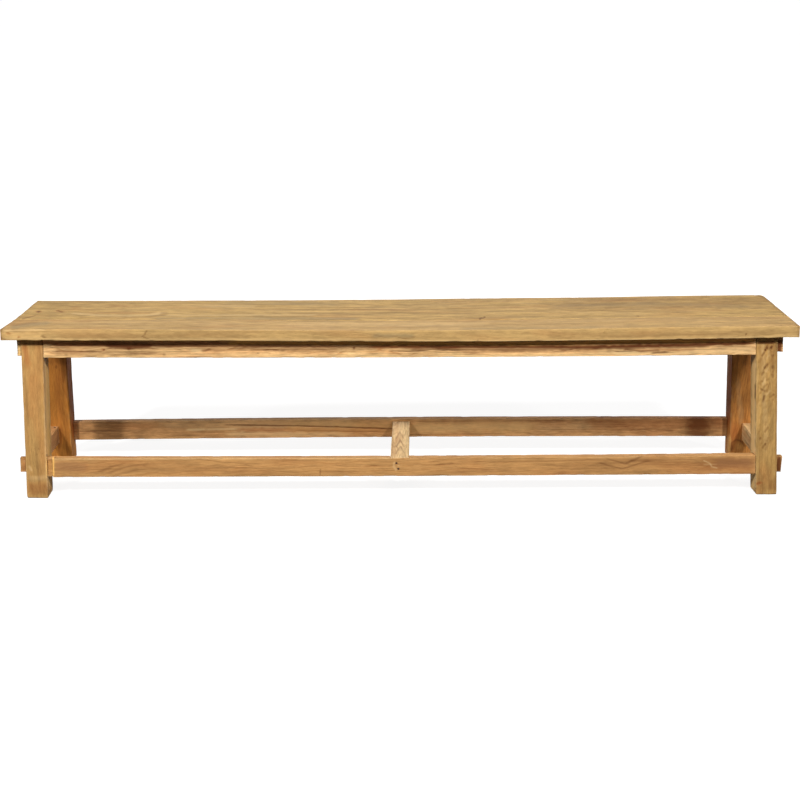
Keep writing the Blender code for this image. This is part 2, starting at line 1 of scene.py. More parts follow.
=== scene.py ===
"""Looks of a rustic wooden bench: worn boards, splayed legs and rails of reused timber.

Metres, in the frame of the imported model: +Z up, +X to the bench's right hand end seen from
the front, -Y the front. Each timber of the model is made again as a fine mesh, with worn
arrises, dents and chips, and its wood is one solid texture that runs through the piece.
"""
import math
from dataclasses import dataclass

import bmesh
import bpy
import numpy as np
from mathutils import Matrix, Vector
from mathutils.bvhtree import BVHTree
from mathutils.kdtree import KDTree


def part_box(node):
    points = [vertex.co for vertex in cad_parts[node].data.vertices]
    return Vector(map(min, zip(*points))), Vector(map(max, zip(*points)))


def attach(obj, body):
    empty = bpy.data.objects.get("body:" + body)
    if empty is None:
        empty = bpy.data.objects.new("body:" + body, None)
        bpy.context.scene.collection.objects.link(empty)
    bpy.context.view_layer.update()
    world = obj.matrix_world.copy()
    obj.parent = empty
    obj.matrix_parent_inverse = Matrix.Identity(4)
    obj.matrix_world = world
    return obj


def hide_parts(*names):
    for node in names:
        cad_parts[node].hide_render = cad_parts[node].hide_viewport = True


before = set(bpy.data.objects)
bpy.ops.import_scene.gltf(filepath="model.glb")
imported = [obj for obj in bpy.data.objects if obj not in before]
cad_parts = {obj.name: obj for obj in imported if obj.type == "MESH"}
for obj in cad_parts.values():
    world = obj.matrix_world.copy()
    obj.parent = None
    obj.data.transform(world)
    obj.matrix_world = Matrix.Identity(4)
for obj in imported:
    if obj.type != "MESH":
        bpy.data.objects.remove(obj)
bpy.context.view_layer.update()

MM = 0.001
X, Y, Z = 0, 1, 2
CROSS = {X: (Y, Z), Y: (X, Z), Z: (X, Y)}
FIT = 0.3 * MM

# Camera, fitted to the bench's edges in the photograph
PHOTO_PIXELS = 800
FOCAL_PIXELS = 1431.2
SENSOR_MM = 36.0
CAMERA_PLACE = np.array((-0.0282, -3.6810, 1.2882))
CAMERA_PITCH = 0.2858
CAMERA_YAW = 0.0074
CAMERA_ROLL = -0.0023
FAR_CLIP = 200.0


def camera_axes():
    """Right, up and forward of the camera."""
    pitch, yaw, roll = CAMERA_PITCH, CAMERA_YAW, CAMERA_ROLL
    level = np.array((math.cos(yaw), -math.sin(yaw), 0.0))
    ahead = np.array((math.sin(yaw), math.cos(yaw), 0.0))
    forward = math.cos(pitch) * ahead - math.sin(pitch) * np.eye(3)[Z]
    upright = np.cross(level, forward)
    right = math.cos(roll) * level + math.sin(roll) * upright
    up = math.cos(roll) * upright - math.sin(roll) * level
    return right, up, forward


def photo_pixels(points):
    """Where points show in the photograph, in its pixels."""
    right, up, forward = camera_axes()
    sight = points - CAMERA_PLACE
    depth = sight @ forward
    middle = PHOTO_PIXELS / 2
    return np.stack((middle + FOCAL_PIXELS * (sight @ right) / depth,
                     middle - FOCAL_PIXELS * (sight @ up) / depth), axis=1)


def linked(name, data):
    """A new object of the scene."""
    thing = bpy.data.objects.new(name, data)
    bpy.context.scene.collection.objects.link(thing)
    return thing


def make_camera():
    right, up, forward = camera_axes()
    lens = bpy.data.cameras.new("camera")
    lens.sensor_width = SENSOR_MM
    lens.lens = FOCAL_PIXELS * SENSOR_MM / PHOTO_PIXELS
    lens.clip_end = FAR_CLIP
    camera = linked("camera", lens)
    turn = Matrix((right, up, -forward)).transposed()
    camera.matrix_world = Matrix.Translation(Vector(CAMERA_PLACE)) @ turn.to_4x4()
    bpy.context.scene.camera = camera


# Smooth noise for shapes and for painted marks

CELL_FACTORS = (73856093, 19349663, 83492791)
SEED_FACTOR, SEED_START = 40503, 977
MIX_FACTORS = (1274126177, 2246822519)
WORD = 0xFFFFFFFF


def lattice_value(cell, seed):
    """A number from -1 to 1 for each lattice cell, the same each run."""
    value = np.bitwise_xor.reduce(cell * CELL_FACTORS, axis=1) ^ (seed * SEED_FACTOR + SEED_START)
    value = ((value ^ (value >> 13)) * MIX_FACTORS[0]) & WORD
    value = ((value ^ (value >> 16)) * MIX_FACTORS[1]) & WORD
    return ((value ^ (value >> 15)) & 0xFFFFFF) / float(0x7FFFFF) - 1.0


def noise(points, period, seed):
    """Smooth noise from -1 to 1. The period is its wavelength along each axis."""
    place = points / np.asarray(period, float)
    cell = np.floor(place).astype(np.int64)
    share = place - cell
    share = share * share * (3 - 2 * share)
    total = np.zeros(len(place))
    for corner in np.ndindex(2, 2, 2):
        weight = np.where(corner, share, 1 - share).prod(axis=1)
        total += weight * lattice_value(cell + np.array(corner), seed)
    return total


def step_between(low, high, value):
    """0 up to low and 1 from high on, with a smooth rise between them."""
    share = np.clip((value - low) / (high - low), 0.0, 1.0)
    return share * share * (3 - 2 * share)


# Shapes read from the CAD solids

def ring_at(node, axis, place):
    """The four corners of a solid's section: [second axis low/high][first axis low/high]."""
    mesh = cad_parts[node].data
    points = np.empty((len(mesh.vertices), 3))
    mesh.vertices.foreach_get("co", points.ravel())
    ends = np.empty((len(mesh.edges), 2), int)
    mesh.edges.foreach_get("vertices", ends.ravel())
    start, stop = points[ends[:, 0]], points[ends[:, 1]]
    before, after = start[:, axis] - place, stop[:, axis] - place
    cut = before * after < 0
    share = (before[cut] / (before[cut] - after[cut]))[:, None]
    found = start[cut] + share * (stop[cut] - start[cut])
    first, second = CROSS[axis]
    low, high = found[:, second].min(), found[:, second].max()
    ring = np.empty((2, 2, 3))
    ring[:, :, axis] = place
    for row, (side, edge) in enumerate(((-1, low), (1, high))):
        half = found[(found[:, second] - (low + high) / 2) * side > 0]
        ring[row, :, second] = edge
        ring[row, :, first] = half[:, first].min(), half[:, first].max()
    return ring


RUN_ON = 0.1


class Bar:
    """A stretch of timber of four-sided section, between two ends, along one axis."""

    def __init__(self, node, axis, low, high, sections, settle=0):
        self.axis = axis
        self.ends = [np.array(np.broadcast_to(end, (2, 2)), float) for end in (low, high)]
        places = np.asarray(sections, float)
        rings = np.array([ring_at(node, axis, place) for place in places])
        for _ in range(settle):
            rings[1:-1] = (rings[:-2] + 2 * rings[1:-1] + rings[2:]) / 4
        self.places, self.rings = self.stretched(places, rings)
        first, second = CROSS[axis]
        middle = rings[len(rings) // 2]
        self.size = np.array((np.mean(self.ends[1]) - np.mean(self.ends[0]),
                              np.mean(middle[:, 1, first] - middle[:, 0, first]),
                              np.mean(middle[1, :, second] - middle[0, :, second])))

    def stretched(self, places, rings):
        """The sections and, beyond both of them, the straight run on to past the ends."""
        first = rings[0] + (rings[0] - rings[1]) * RUN_ON / (places[1] - places[0])
        last = rings[-1] + (rings[-1] - rings[-2]) * RUN_ON / (places[-1] - places[-2])
        return (np.concatenate(([places[0] - RUN_ON], places, [places[-1] + RUN_ON])),
                np.concatenate((first[None], rings, last[None])))

    def placed(self, local):
        """Points from the bar's own box, along, first and second axis, to the frame."""
        share = local / self.size
        along, a, b = share.T
        weight = {(0, 0): (1 - b) * (1 - a), (0, 1): (1 - b) * a, (1, 0): b * (1 - a), (1, 1): b * a}
        low = sum(weight[key] * self.ends[0][key] for key in weight)
        high = sum(weight[key] * self.ends[1][key] for key in weight)
        place = low + along * (high - low)
        result = np.zeros((len(local), 3))
        for key, amount in weight.items():
            for axis in CROSS[self.axis]:
                edge = self.rings[:, key[0], key[1], axis]
                result[:, axis] += amount * np.interp(place, self.places, edge)
        result[:, self.axis] = place
        return result

    def outward(self, local):
        """Directions of the bar's own box in the frame."""
        turned = np.zeros_like(local)
        turned[:, self.axis] = local[:, 0]
        for index, axis in enumerate(CROSS[self.axis]):
            turned[:, axis] = local[:, index + 1]
        return turned

    def block(self, grow):
        """A plain closed box of the bar, a little larger all round."""
        corners = np.array([[self.size[i] + grow if key[i] else -grow for i in range(3)]
                            for key in np.ndindex(2, 2, 2)])
        numbers = np.arange(8).reshape(2, 2, 2)
        return plain_mesh(self.placed(corners), box_faces(numbers, self.axis))


def box_faces(number, axis):
    """Quads on the outside of a lattice of point numbers, facing out."""
    quads = []
    for side in range(3):
        for end in (0, -1):
            sheet = np.take(number, end, axis=side)
            corners = (sheet[:-1, :-1], sheet[1:, :-1], sheet[1:, 1:], sheet[:-1, 1:])
            quad = np.stack(corners, -1).reshape(-1, 4)
            backward = (end == 0) != (side == 1)
            quads.append(quad[:, ::-1] if backward != (axis == Y) else quad)
    return np.concatenate(quads)


def plain_mesh(points, quads):
    mesh = bpy.data.meshes.new("work")
    mesh.from_pydata(points.tolist(), [], quads.tolist())
    mesh.update()
    return mesh


# Worn surfaces: depths, and noise periods along and across the grain

NEAR_SHARES = (0.0, 0.28, 0.62, 1.0, 1.5)
LAST_GAP_SHARE = 0.3
ALONG_STEPS = 1.2
WIDEST_ARRIS = 1.7
ARRIS_CHANGE = 0.65
ARRIS_PERIOD = (0.066, 0.035, 0.035)
ARRIS_LIMIT_SHARE = 0.45
UNDER_SHARES = (0.6, 0.3)
TIP_LENGTH = 12 * MM
SWELL, SWELL_PERIOD = 0.16 * MM, (0.11, 0.035, 0.035)
GRIT, GRIT_PERIOD = 0.06 * MM, (0.016, 0.006, 0.006)
CHIP_PERIOD, CHIP_RISE, CHIP_REACH = (0.021, 0.012, 0.012), (0.25, 0.75), 3.5 * MM
EDGE_REACH = 2.6 * MM
TINY = 1e-9


def grid_lines(length, step, radius):
    """Places across a face: close together near both arrises, even between them."""
    near = np.array(NEAR_SHARES) * radius
    near = near[near < length / 2 - radius * LAST_GAP_SHARE]
    count = max(2, int(round((length - 2 * near[-1]) / step)) + 1)
    even = np.linspace(near[-1], length - near[-1], count)
    return np.concatenate((near[:-1], even, length - near[:-1][::-1]))


def worn_surface(bar, timber, marks):
    """Points, faces and painted channels of a bar with worn arrises, hollows and marks."""
    seed, arris = timber.seed, timber.arris * MM
    steps = timber.step * MM * np.array((ALONG_STEPS, 1.0, 1.0))
    lines = [grid_lines(length, step, arris * WIDEST_ARRIS) for length, step in zip(bar.size, steps)]
    number = np.full([len(line) for line in lines], -1)
    rim = np.ones(number.shape, bool)
    rim[1:-1, 1:-1, 1:-1] = False
    number[rim] = np.arange(rim.sum())
    local = np.stack(np.meshgrid(*lines, indexing="ij"), -1)[rim]
    radius = arris * (1 + ARRIS_CHANGE * noise(local, ARRIS_PERIOD, seed + 1))
    radius *= 1 - (1 - timber.under) * step_between(*UNDER_SHARES, local[:, 2] / bar.size[2])
    tip_gap = np.minimum(local[:, 0], bar.size[0] - local[:, 0])
    radius *= 1 - (1 - timber.tips) * step_between(TIP_LENGTH, TIP_LENGTH / 2, tip_gap)
    radius = np.minimum(radius, bar.size.min() * ARRIS_LIMIT_SHARE)[:, None]
    core = np.clip(local, radius, bar.size - radius)
    direction = local - core
    direction /= np.maximum(np.linalg.norm(direction, axis=1, keepdims=True), TINY)
    edge_gap = np.sort(np.minimum(local, bar.size - local), axis=1)[:, 1]
    sunk = SWELL * (1 + noise(local, SWELL_PERIOD, seed + 2))
    sunk += GRIT * (1 + noise(local, GRIT_PERIOD, seed + 3))
    bite = step_between(*CHIP_RISE, noise(local, CHIP_PERIOD, seed + 4))
    sunk += timber.chips * MM * bite * np.exp(-edge_gap / CHIP_REACH)
    points = bar.placed(core + direction * radius)
    outward = bar.outward(direction)
    channels = painted(points, outward, marks, seed)
    sunk += channels[:, DEPTH]
    points -= outward * sunk[:, None]
    channels[:, EDGE] = np.exp(-edge_gap / EDGE_REACH)
    return points, box_faces(number, bar.axis), channels.clip(0, 1)


# A mark's channels, and its depth, whose column then holds how near an arris is
DARK, PALE, WARM, GREY, AMBER, DEPTH = range(6)
EDGE = DEPTH
RAGGED_PERIOD, RAGGED_SHARE, RAGGED_SEED = 0.011, 0.28, 20
FULL_SHARE, GONE_SHARE = 0.25, 1.25


def beside(place, route):
    """1 along a path of straight lines, fading to 0 beside it."""
    gap = np.full(len(place), np.inf)
    for start, stop in zip(route, route[1:] if len(route) > 1 else route):
        line = stop - start
        share = np.clip((place - start) @ line / max(line @ line, TINY), 0, 1)
        gap = np.minimum(gap, np.linalg.norm(place - start - share[:, None] * line, axis=1))
    return 1 - step_between(FULL_SHARE, GONE_SHARE, gap)


def painted(points, outward, marks, seed):
    """Marks drawn where the photograph shows them: five colour channels and a depth.

    Each channel has its marks: the strength in percent, half the width and half the height, the
    strokes in the photograph's pixels as "x,y x,y; x,y" and, for a hollow, its depth in mm.
    """
    result = np.zeros((len(points), 6))
    facing = ((CAMERA_PLACE - points) * outward).sum(axis=1) > 0
    pixels = photo_pixels(points)
    ragged = np.stack([noise(points, RAGGED_PERIOD, seed + RAGGED_SEED + i) for i in range(2)], axis=1)
    for channel in marks:
        for strength, width, height, strokes, *depth in marks[channel]:
            place = pixels / (width, height) + ragged * RAGGED_SHARE
            for stroke in strokes.split(";"):
                route = np.array([point.split(",") for point in stroke.split()], float)
                amount = beside(place, route / (width, height)) * facing
                result[:, channel] += strength / 100 * amount
                if depth:
                    result[:, DEPTH] += depth[0] * MM * amount
    return result


# Timbers and their joints

HANDS = ("left", "right")
ENDS = ("front", "rear")
INSET = 3.5 * MM
SHOULDER_SEARCH = 0.12
SHOULDER_CLEAR = 12 * MM
OVERLAP = 5 * MM
TENON_SHARES = (0.25, 0.75)
HAUNCH_SHARES = (0.7, 0.3)
HAUNCH_LENGTH = 13.9 * MM
LEG_SECTIONS = (0.030, 0.300)
BOARD_SEARCH = 0.020
BOARD_STATIONS, RAIL_STATIONS = (49, 4), (25, 2)
HEAD_SHARE, HEAD_SIDES = 0.8, 24
SCREW_ROOM = 0.060
NAIL_ROOM = 0.012
STUB_LIFT = 1.8 * MM
STUB_SLANT = np.array(((3.2,), (0.0,))) * MM
CORNER_ROUND = (11 * MM, 34 * MM)

# The lower front arris of the seat: between which places it hangs down, and how far in mm along X
LIP_FRONT, LIP_BACK = -0.178, -0.168
LIP_SHARES = (1.0, 0.3)
LIP = ((-0.98, 0), (-0.80, 1.3), (-0.66, 0.3), (-0.45, -0.6), (-0.15, -0.4), (0, 0.4),
       (0.20, 1.5), (0.46, 2.5), (0.72, 3.2), (0.90, 2.2), (0.99, 0.4))


def end_places(node, axis, side, start):
    """Where a solid ends beyond a section, at each corner of that section."""
    ring = ring_at(node, axis, start)
    centre = ring.mean(axis=(0, 1))
    tree = BVHTree.FromObject(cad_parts[node], bpy.context.evaluated_depsgraph_get())
    direction = Vector(side * np.eye(3)[axis])
    places = np.empty((2, 2))
    for corner in np.ndindex(2, 2):
        origin = ring[corner] + np.sign(centre - ring[corner]) * INSET
        origin[axis] = start
        places[corner] = tree.ray_cast(Vector(origin), direction)[0][axis]
    return places


def node_span(node, axis):
    low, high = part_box(node)
    return low[axis], high[axis]


def body_bar(node, axis, stations=2, settle=0, search=SHOULDER_SEARCH):
    """The stretch of a timber between its shoulders, looked for this far from its ends."""
    low, high = node_span(node, axis)
    search = min(search, (high - low) / 2)
    start, stop = end_places(node, axis, -1, low + search), end_places(node, axis, 1, high - search)
    places = np.linspace(start.max() + SHOULDER_CLEAR, stop.min() - SHOULDER_CLEAR, stations)
    return Bar(node, axis, start, stop, places, settle)


def tenon_bar(node, axis, side, body):
    """A tenon, from its end to a little inside the shoulder."""
    low, high = node_span(node, axis)
    end = high if side > 0 else low
    shoulder = body.ends[1].max() if side > 0 else body.ends[0].min()
    run = shoulder - end
    sections = sorted(end + run * share for share in TENON_SHARES)
    tip = end_places(node, axis, side, end + run / 2)
    root = (body.ends[1].min() if side > 0 else body.ends[0].max()) - side * OVERLAP
    return Bar(node, axis, tip, root, sections) if side < 0 else Bar(node, axis, root, tip, sections)


def haunch_bar(node, body):
    """The bare stretch of tenon between the front stretcher's left shoulder and the leg."""
    shoulder = body.ends[0]
    sections = [shoulder.min() - HAUNCH_LENGTH * share for share in HAUNCH_SHARES]
    return Bar(node, X, shoulder - HAUNCH_LENGTH, shoulder + OVERLAP, sections)


def carved(name, meshes, cutters):
    """One mesh: the first joined with the others, less the cutters."""
    piece = linked(name, meshes[0])
    helpers = []
    for operation, group in (("UNION", meshes[1:]), ("DIFFERENCE", cutters)):
        for mesh in group:
            helper = linked("helper", mesh)
            helpers.append(helper)
            boolean = piece.modifiers.new(operation, "BOOLEAN")
            boolean.operation = operation
            boolean.solver = "MANIFOLD"
            boolean.object = helper
    bpy.context.view_layer.update()
    mesh = bpy.data.meshes.new_from_object(piece.evaluated_get(bpy.context.evaluated_depsgraph_get()))
    piece.modifiers.clear()
    piece.data = mesh
    for helper in helpers:
        bpy.data.objects.remove(helper, do_unlink=True)
    return piece


def nearest_rows(points, known, rows):
    tree = KDTree(len(known))
    for index, point in enumerate(known):
        tree.insert(point, index)
    tree.balance()
    return rows[[tree.find(point)[1] for point in points]]


def store_channels(mesh, channels):
    """Four kinds of mark as one colour attribute, the fifth and nearness to an arris as values."""
    marks = mesh.attributes.new("marks", "FLOAT_COLOR", "POINT")
    marks.data.foreach_set("color", channels[:, :AMBER].astype(np.float32).ravel())
    for column, name in ((AMBER, "amber"), (EDGE, "edge")):
        values = mesh.attributes.new(name, "FLOAT", "POINT")
        values.data.foreach_set("value", channels[:, column].astype(np.float32))


def droop(points):
    """How far the lower front arris of the seat hangs down, uneven along the board."""
    front = step_between(LIP_BACK, LIP_FRONT, points[:, Y])
    low = step_between(*LIP_SHARES, (points[:, Z] - points[:, Z].min()) / np.ptp(points[:, Z]))
    return np.interp(points[:, X], *zip(*LIP)) * MM * front * low


def round_corner(points):
    """Wear the seat's rear right corner round, seen from above."""
    size = np.array(CORNER_ROUND)
    corner = points[:, :2].max(axis=0) - size
    beyond = np.maximum((points[:, :2] - corner) / size, 0)
    inside = (beyond > 0).all(axis=1)
    ratio = beyond.max(axis=1)[inside] / np.linalg.norm(beyond[inside], axis=1)
    points[inside, :2] = corner + size * beyond[inside] * ratio[:, None]


def make_timber(node, bars, cutters):
    """A worn timber that stands for a CAD node."""
    surfaces = [worn_surface(bar, TIMBERS[node], MARKS.get(node, {})) for bar in bars]
    for points, _, _ in surfaces:
        if node == "seat_board_front":
            points[:, Z] -= droop(points)
        if node == "seat_board_rear":
            round_corner(points)
    meshes = [plain_mesh(points, quads) for points, quads, _ in surfaces]
    piece = carved("worn_" + node, meshes, cutters)
    known = np.concatenate([points for points, _, _ in surfaces])
    rows = np.concatenate([channels for _, _, channels in surfaces])
    points = np.array([vertex.co for vertex in piece.data.vertices])
    if len(points) != len(known) or cutters:
        rows = nearest_rows(points, known, rows)
    store_channels(piece.data, rows)
    piece.data.shade_smooth()
    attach(piece, "root")
    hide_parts(node)
    piece.data.materials.clear()
    piece.data.materials.append(TIMBERS[node].material(node, bars[0]))


def head_room(node, depth):
    """A cutter for the hole that a nail's or a screw's head sits in, open towards the outside."""
    points = np.array([vertex.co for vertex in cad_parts[node].data.vertices])
    centre = points.mean(axis=0)
    direction = np.linalg.svd(points - centre)[2][0]
    along = (points - centre) @ direction
    radius = np.linalg.norm(points - centre - along[:, None] * direction, axis=1)
    head = radius > radius.max() * HEAD_SHARE
    outside = 1 if along[head].mean() > 0 else -1
    start = along[head].min() - FIT if outside > 0 else along[head].max() + FIT
    work = bmesh.new()
    bmesh.ops.create_cone(work, cap_ends=True, segments=HEAD_SIDES, radius1=radius.max() + FIT,
                          radius2=radius.max() + FIT, depth=depth)
    middle = centre + direction * (start + outside * depth / 2)
    turn = Vector((0, 0, 1)).rotation_difference(Vector(direction)).to_matrix().to_4x4()
    bmesh.ops.transform(work, matrix=Matrix.Translation(Vector(middle)) @ turn, verts=work.verts)
    mesh = bpy.data.meshes.new("head_room")
    work.to_mesh(mesh)
    work.free()
    return mesh


def nodes_named(start):
    return sorted(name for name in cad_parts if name.startswith(start))


def joints():
    """Each timber that has tenons: its name, its axis and what holds its two ends."""
    for end in ENDS:
        for kind in ("apron", "stretcher"):
            yield f"{kind}_{end}", X, (f"leg_{end}_left", f"leg_{end}_right")
    for hand in HANDS:
        for kind in ("end_rail", "end_stretcher"):
            yield f"{kind}_{hand}", Y, (f"leg_front_{hand}", f"leg_rear_{hand}")
        yield f"seat_cross_rail_{hand}", Y, ("apron_front", "apron_rear")
    yield "centre_rail", Y, ("stretcher_front", "stretcher_rear")


def fastened():
    """Each screw or nail, and the timber that its head is sunk in."""
    for end in ENDS:
        for row in ("upper", "lower"):
            yield f"centre_rail_nail_{end}_{row}", "stretcher_" + end
    yield "end_stretcher_nail", "end_stretcher_left"
    for kind, rail in (("end", "end_rail"), ("cross", "seat_cross_rail")):
        for hand in HANDS:
            for row in ("front", "middle", "rear"):
                yield f"seat_screw_{kind}_{hand}_{row}", f"{rail}_{hand}"


def make_bench():
    """Every timber, each with its tenons, and cut for what is let into it."""
    bars = {node: [body_bar(node, X, *BOARD_STATIONS, BOARD_SEARCH)] for node in nodes_named("seat_board")}
    cuts = {node: [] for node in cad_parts}
    for leg in nodes_named("leg_"):
        bars[leg] = [Bar(leg, Z, *node_span(leg, Z), LEG_SECTIONS)]
    for node, axis, hosts in joints():
        body = body_bar(node, axis, *RAIL_STATIONS) if axis == X else body_bar(node, axis)
        if node == "centre_rail":
            body.ends[0][1] = body.ends[0][0]
        tenons = [tenon_bar(node, axis, side, body) for side in (-1, 1)]
        for host, tenon in zip(hosts, tenons):
            cuts[host].append(tenon.block(FIT))
        bars[node] = [body, *tenons]
    front = bars["stretcher_front"]
    front[1].rings[:, :, :, Z] += STUB_LIFT
    front[2].ends[1] -= STUB_SLANT
    front.append(haunch_bar("stretcher_front", front[0]))
    for node, host in fastened():
        cuts[host].append(head_room(node, SCREW_ROOM if "screw" in node else NAIL_ROOM))
    for node, parts in bars.items():
        make_timber(node, parts, cuts[node])


# Materials

def colour(red, green, blue):
    """A colour as the eye reads it, 0 to 255, as linear light."""
    shares = (value / 255 for value in (red, green, blue))
    return tuple(s / 12.92 if s < 0.04045 else ((s + 0.055) / 1.055) ** 2.4 for s in shares) + (1.0,)


class Graph:
    """The shader nodes of a material or of the world, made by plain calls."""

    def __init__(self, owner):
        owner.use_nodes = True
        self.owner = owner
        self.nodes = owner.node_tree.nodes

    def feed(self, node, values):
        """Give a node's sockets their values, or the outputs that feed them."""
        for key, value in values.items():
            if isinstance(value, bpy.types.NodeSocket):
                self.owner.node_tree.links.new(value, node.inputs[key])
            else:
                node.inputs[key].default_value = value

    def add(self, kind, inputs, output=0, **settings):
        """One of the outputs of a new node, which is fed and set up."""
        node = self.nodes.new("ShaderNode" + kind)
        for key, value in settings.items():
            setattr(node, key, value)
        self.feed(node, inputs)
        return node.outputs[output]

    def math(self, operation, *values):
        return self.add("Math", dict(enumerate(values)), operation=operation)

    def times(self, first, second):
        return self.math("MULTIPLY", first, second)

    def vectors(self, operation, *values, output=0):
        return self.add("VectorMath", dict(enumerate(values)), output, operation=operation)

    def scaled(self, vector, amount):
        return self.add("VectorMath", {"Vector": vector, "Scale": amount}, operation="SCALE")

    def noise(self, place, along, across, detail, roughness, output=0):
        """Noise whose features have the given sizes along X and across it, in metres."""
        stretched = self.vectors("MULTIPLY", place, (1 / along, 1 / across, 1 / across))
        return self.add("TexNoise", {"Vector": stretched, "Scale": 1.0, "Detail": detail,
                                     "Roughness": roughness}, output)

    def between(self, value, low, high, start=0.0, stop=1.0):
        return self.add("MapRange", {"Value": value, "From Min": low, "From Max": high,
                                     "To Min": start, "To Max": stop}, interpolation_type="SMOOTHSTEP")

    def mix(self, factor, first, second):
        return self.add("Mix", {0: factor, 6: first, 7: second}, 2, data_type="RGBA")

    def attribute(self, name, output="Fac"):
        return self.add("Attribute", {}, output, attribute_name=name)

    def bump(self, height, distance, strength):
        return self.add("Bump", {"Height": height, "Distance": distance, "Strength": strength})


WHITE = (1.0, 1.0, 1.0, 1.0)
# Dark brown of stains, pores and cracks, and of the painted shade and painted shadows among the DARK marks
STAIN_AND_SHADE = colour(88, 48, 21)
HONEY = colour(252, 196, 108)
# Pale colour of rubbed edges and worn spots, and of the painted highlights and painted light among the PALE
# marks
BLEACH_AND_HIGHLIGHT = colour(232, 198, 142)
RUST = colour(166, 92, 44)
ASH = colour(142, 126, 92)

# The wood's layers of noise: size along and across the grain (None is the wood's own grain),
# detail, roughness, and the two values between which the layer comes in
LAYERS = {
    "cloud": (0.34, 0.030, 3.0, 0.55, 0.3, 0.7),
    "streak": (0.16, None, 4.0, 0.6, 0.25, 0.75),
    "spot": (0.05, 0.012, 4.0, 0.65, 0.28, 0.72),
    "fibre": (0.03, 0.0011, 3.0, 0.6, 0.3, 0.7),
    "pore": (0.014, 0.0008, 1.0, 0.4, 0.60, 0.72),
    "cracked": (0.12, 0.03, 2.0, 0.5, 0.52, 0.66),
    "patch": (0.22, 0.05, 2.0, 0.5, 0.48, 0.72),
    "rubbed": (0.035, 0.010, 3.0, 0.6, 0.35, 0.7),
}
CLOUD_SHADE, STREAK_SHADE, SPOT_SHADE, FIBRE_SHADE = 0.20, 0.30, 0.26, (1.06, -0.16)
PORE_STAIN = 0.24
HEIGHTS = {"late": -0.25, "fibre": 0.7, "pore": -0.32, "crack": -2.0, "streak": 1.2}
VEINS = (0.26, 0.011, 2.0, 0.5)
VEIN_EDGES = (0.020, 0.004)
BENDS = (((0.45, 0.07, 3.0, 0.5), 0.055), ((0.09, 0.018, 2.0, 0.5), 0.009))
LATE_RISE, LATE_FALL, YEARS = (0.25, 0.86), (1.0, 0.88), (-0.2, 1.2, 0.3, 1.0)
END_EDGES, END_STRENGTH, END_SHADE = (0.55, 0.9), 0.45, 0.55
OWN_SHIFT, SHIFTS = (3.1, 1.7, 2.3), 17
GLOSS = 0.12
ROUGHNESS = (0.3, 0.7, 0.60, 0.76)
BUMP_DEPTH, BUMP_STRENGTH = 0.45 * MM, 0.8


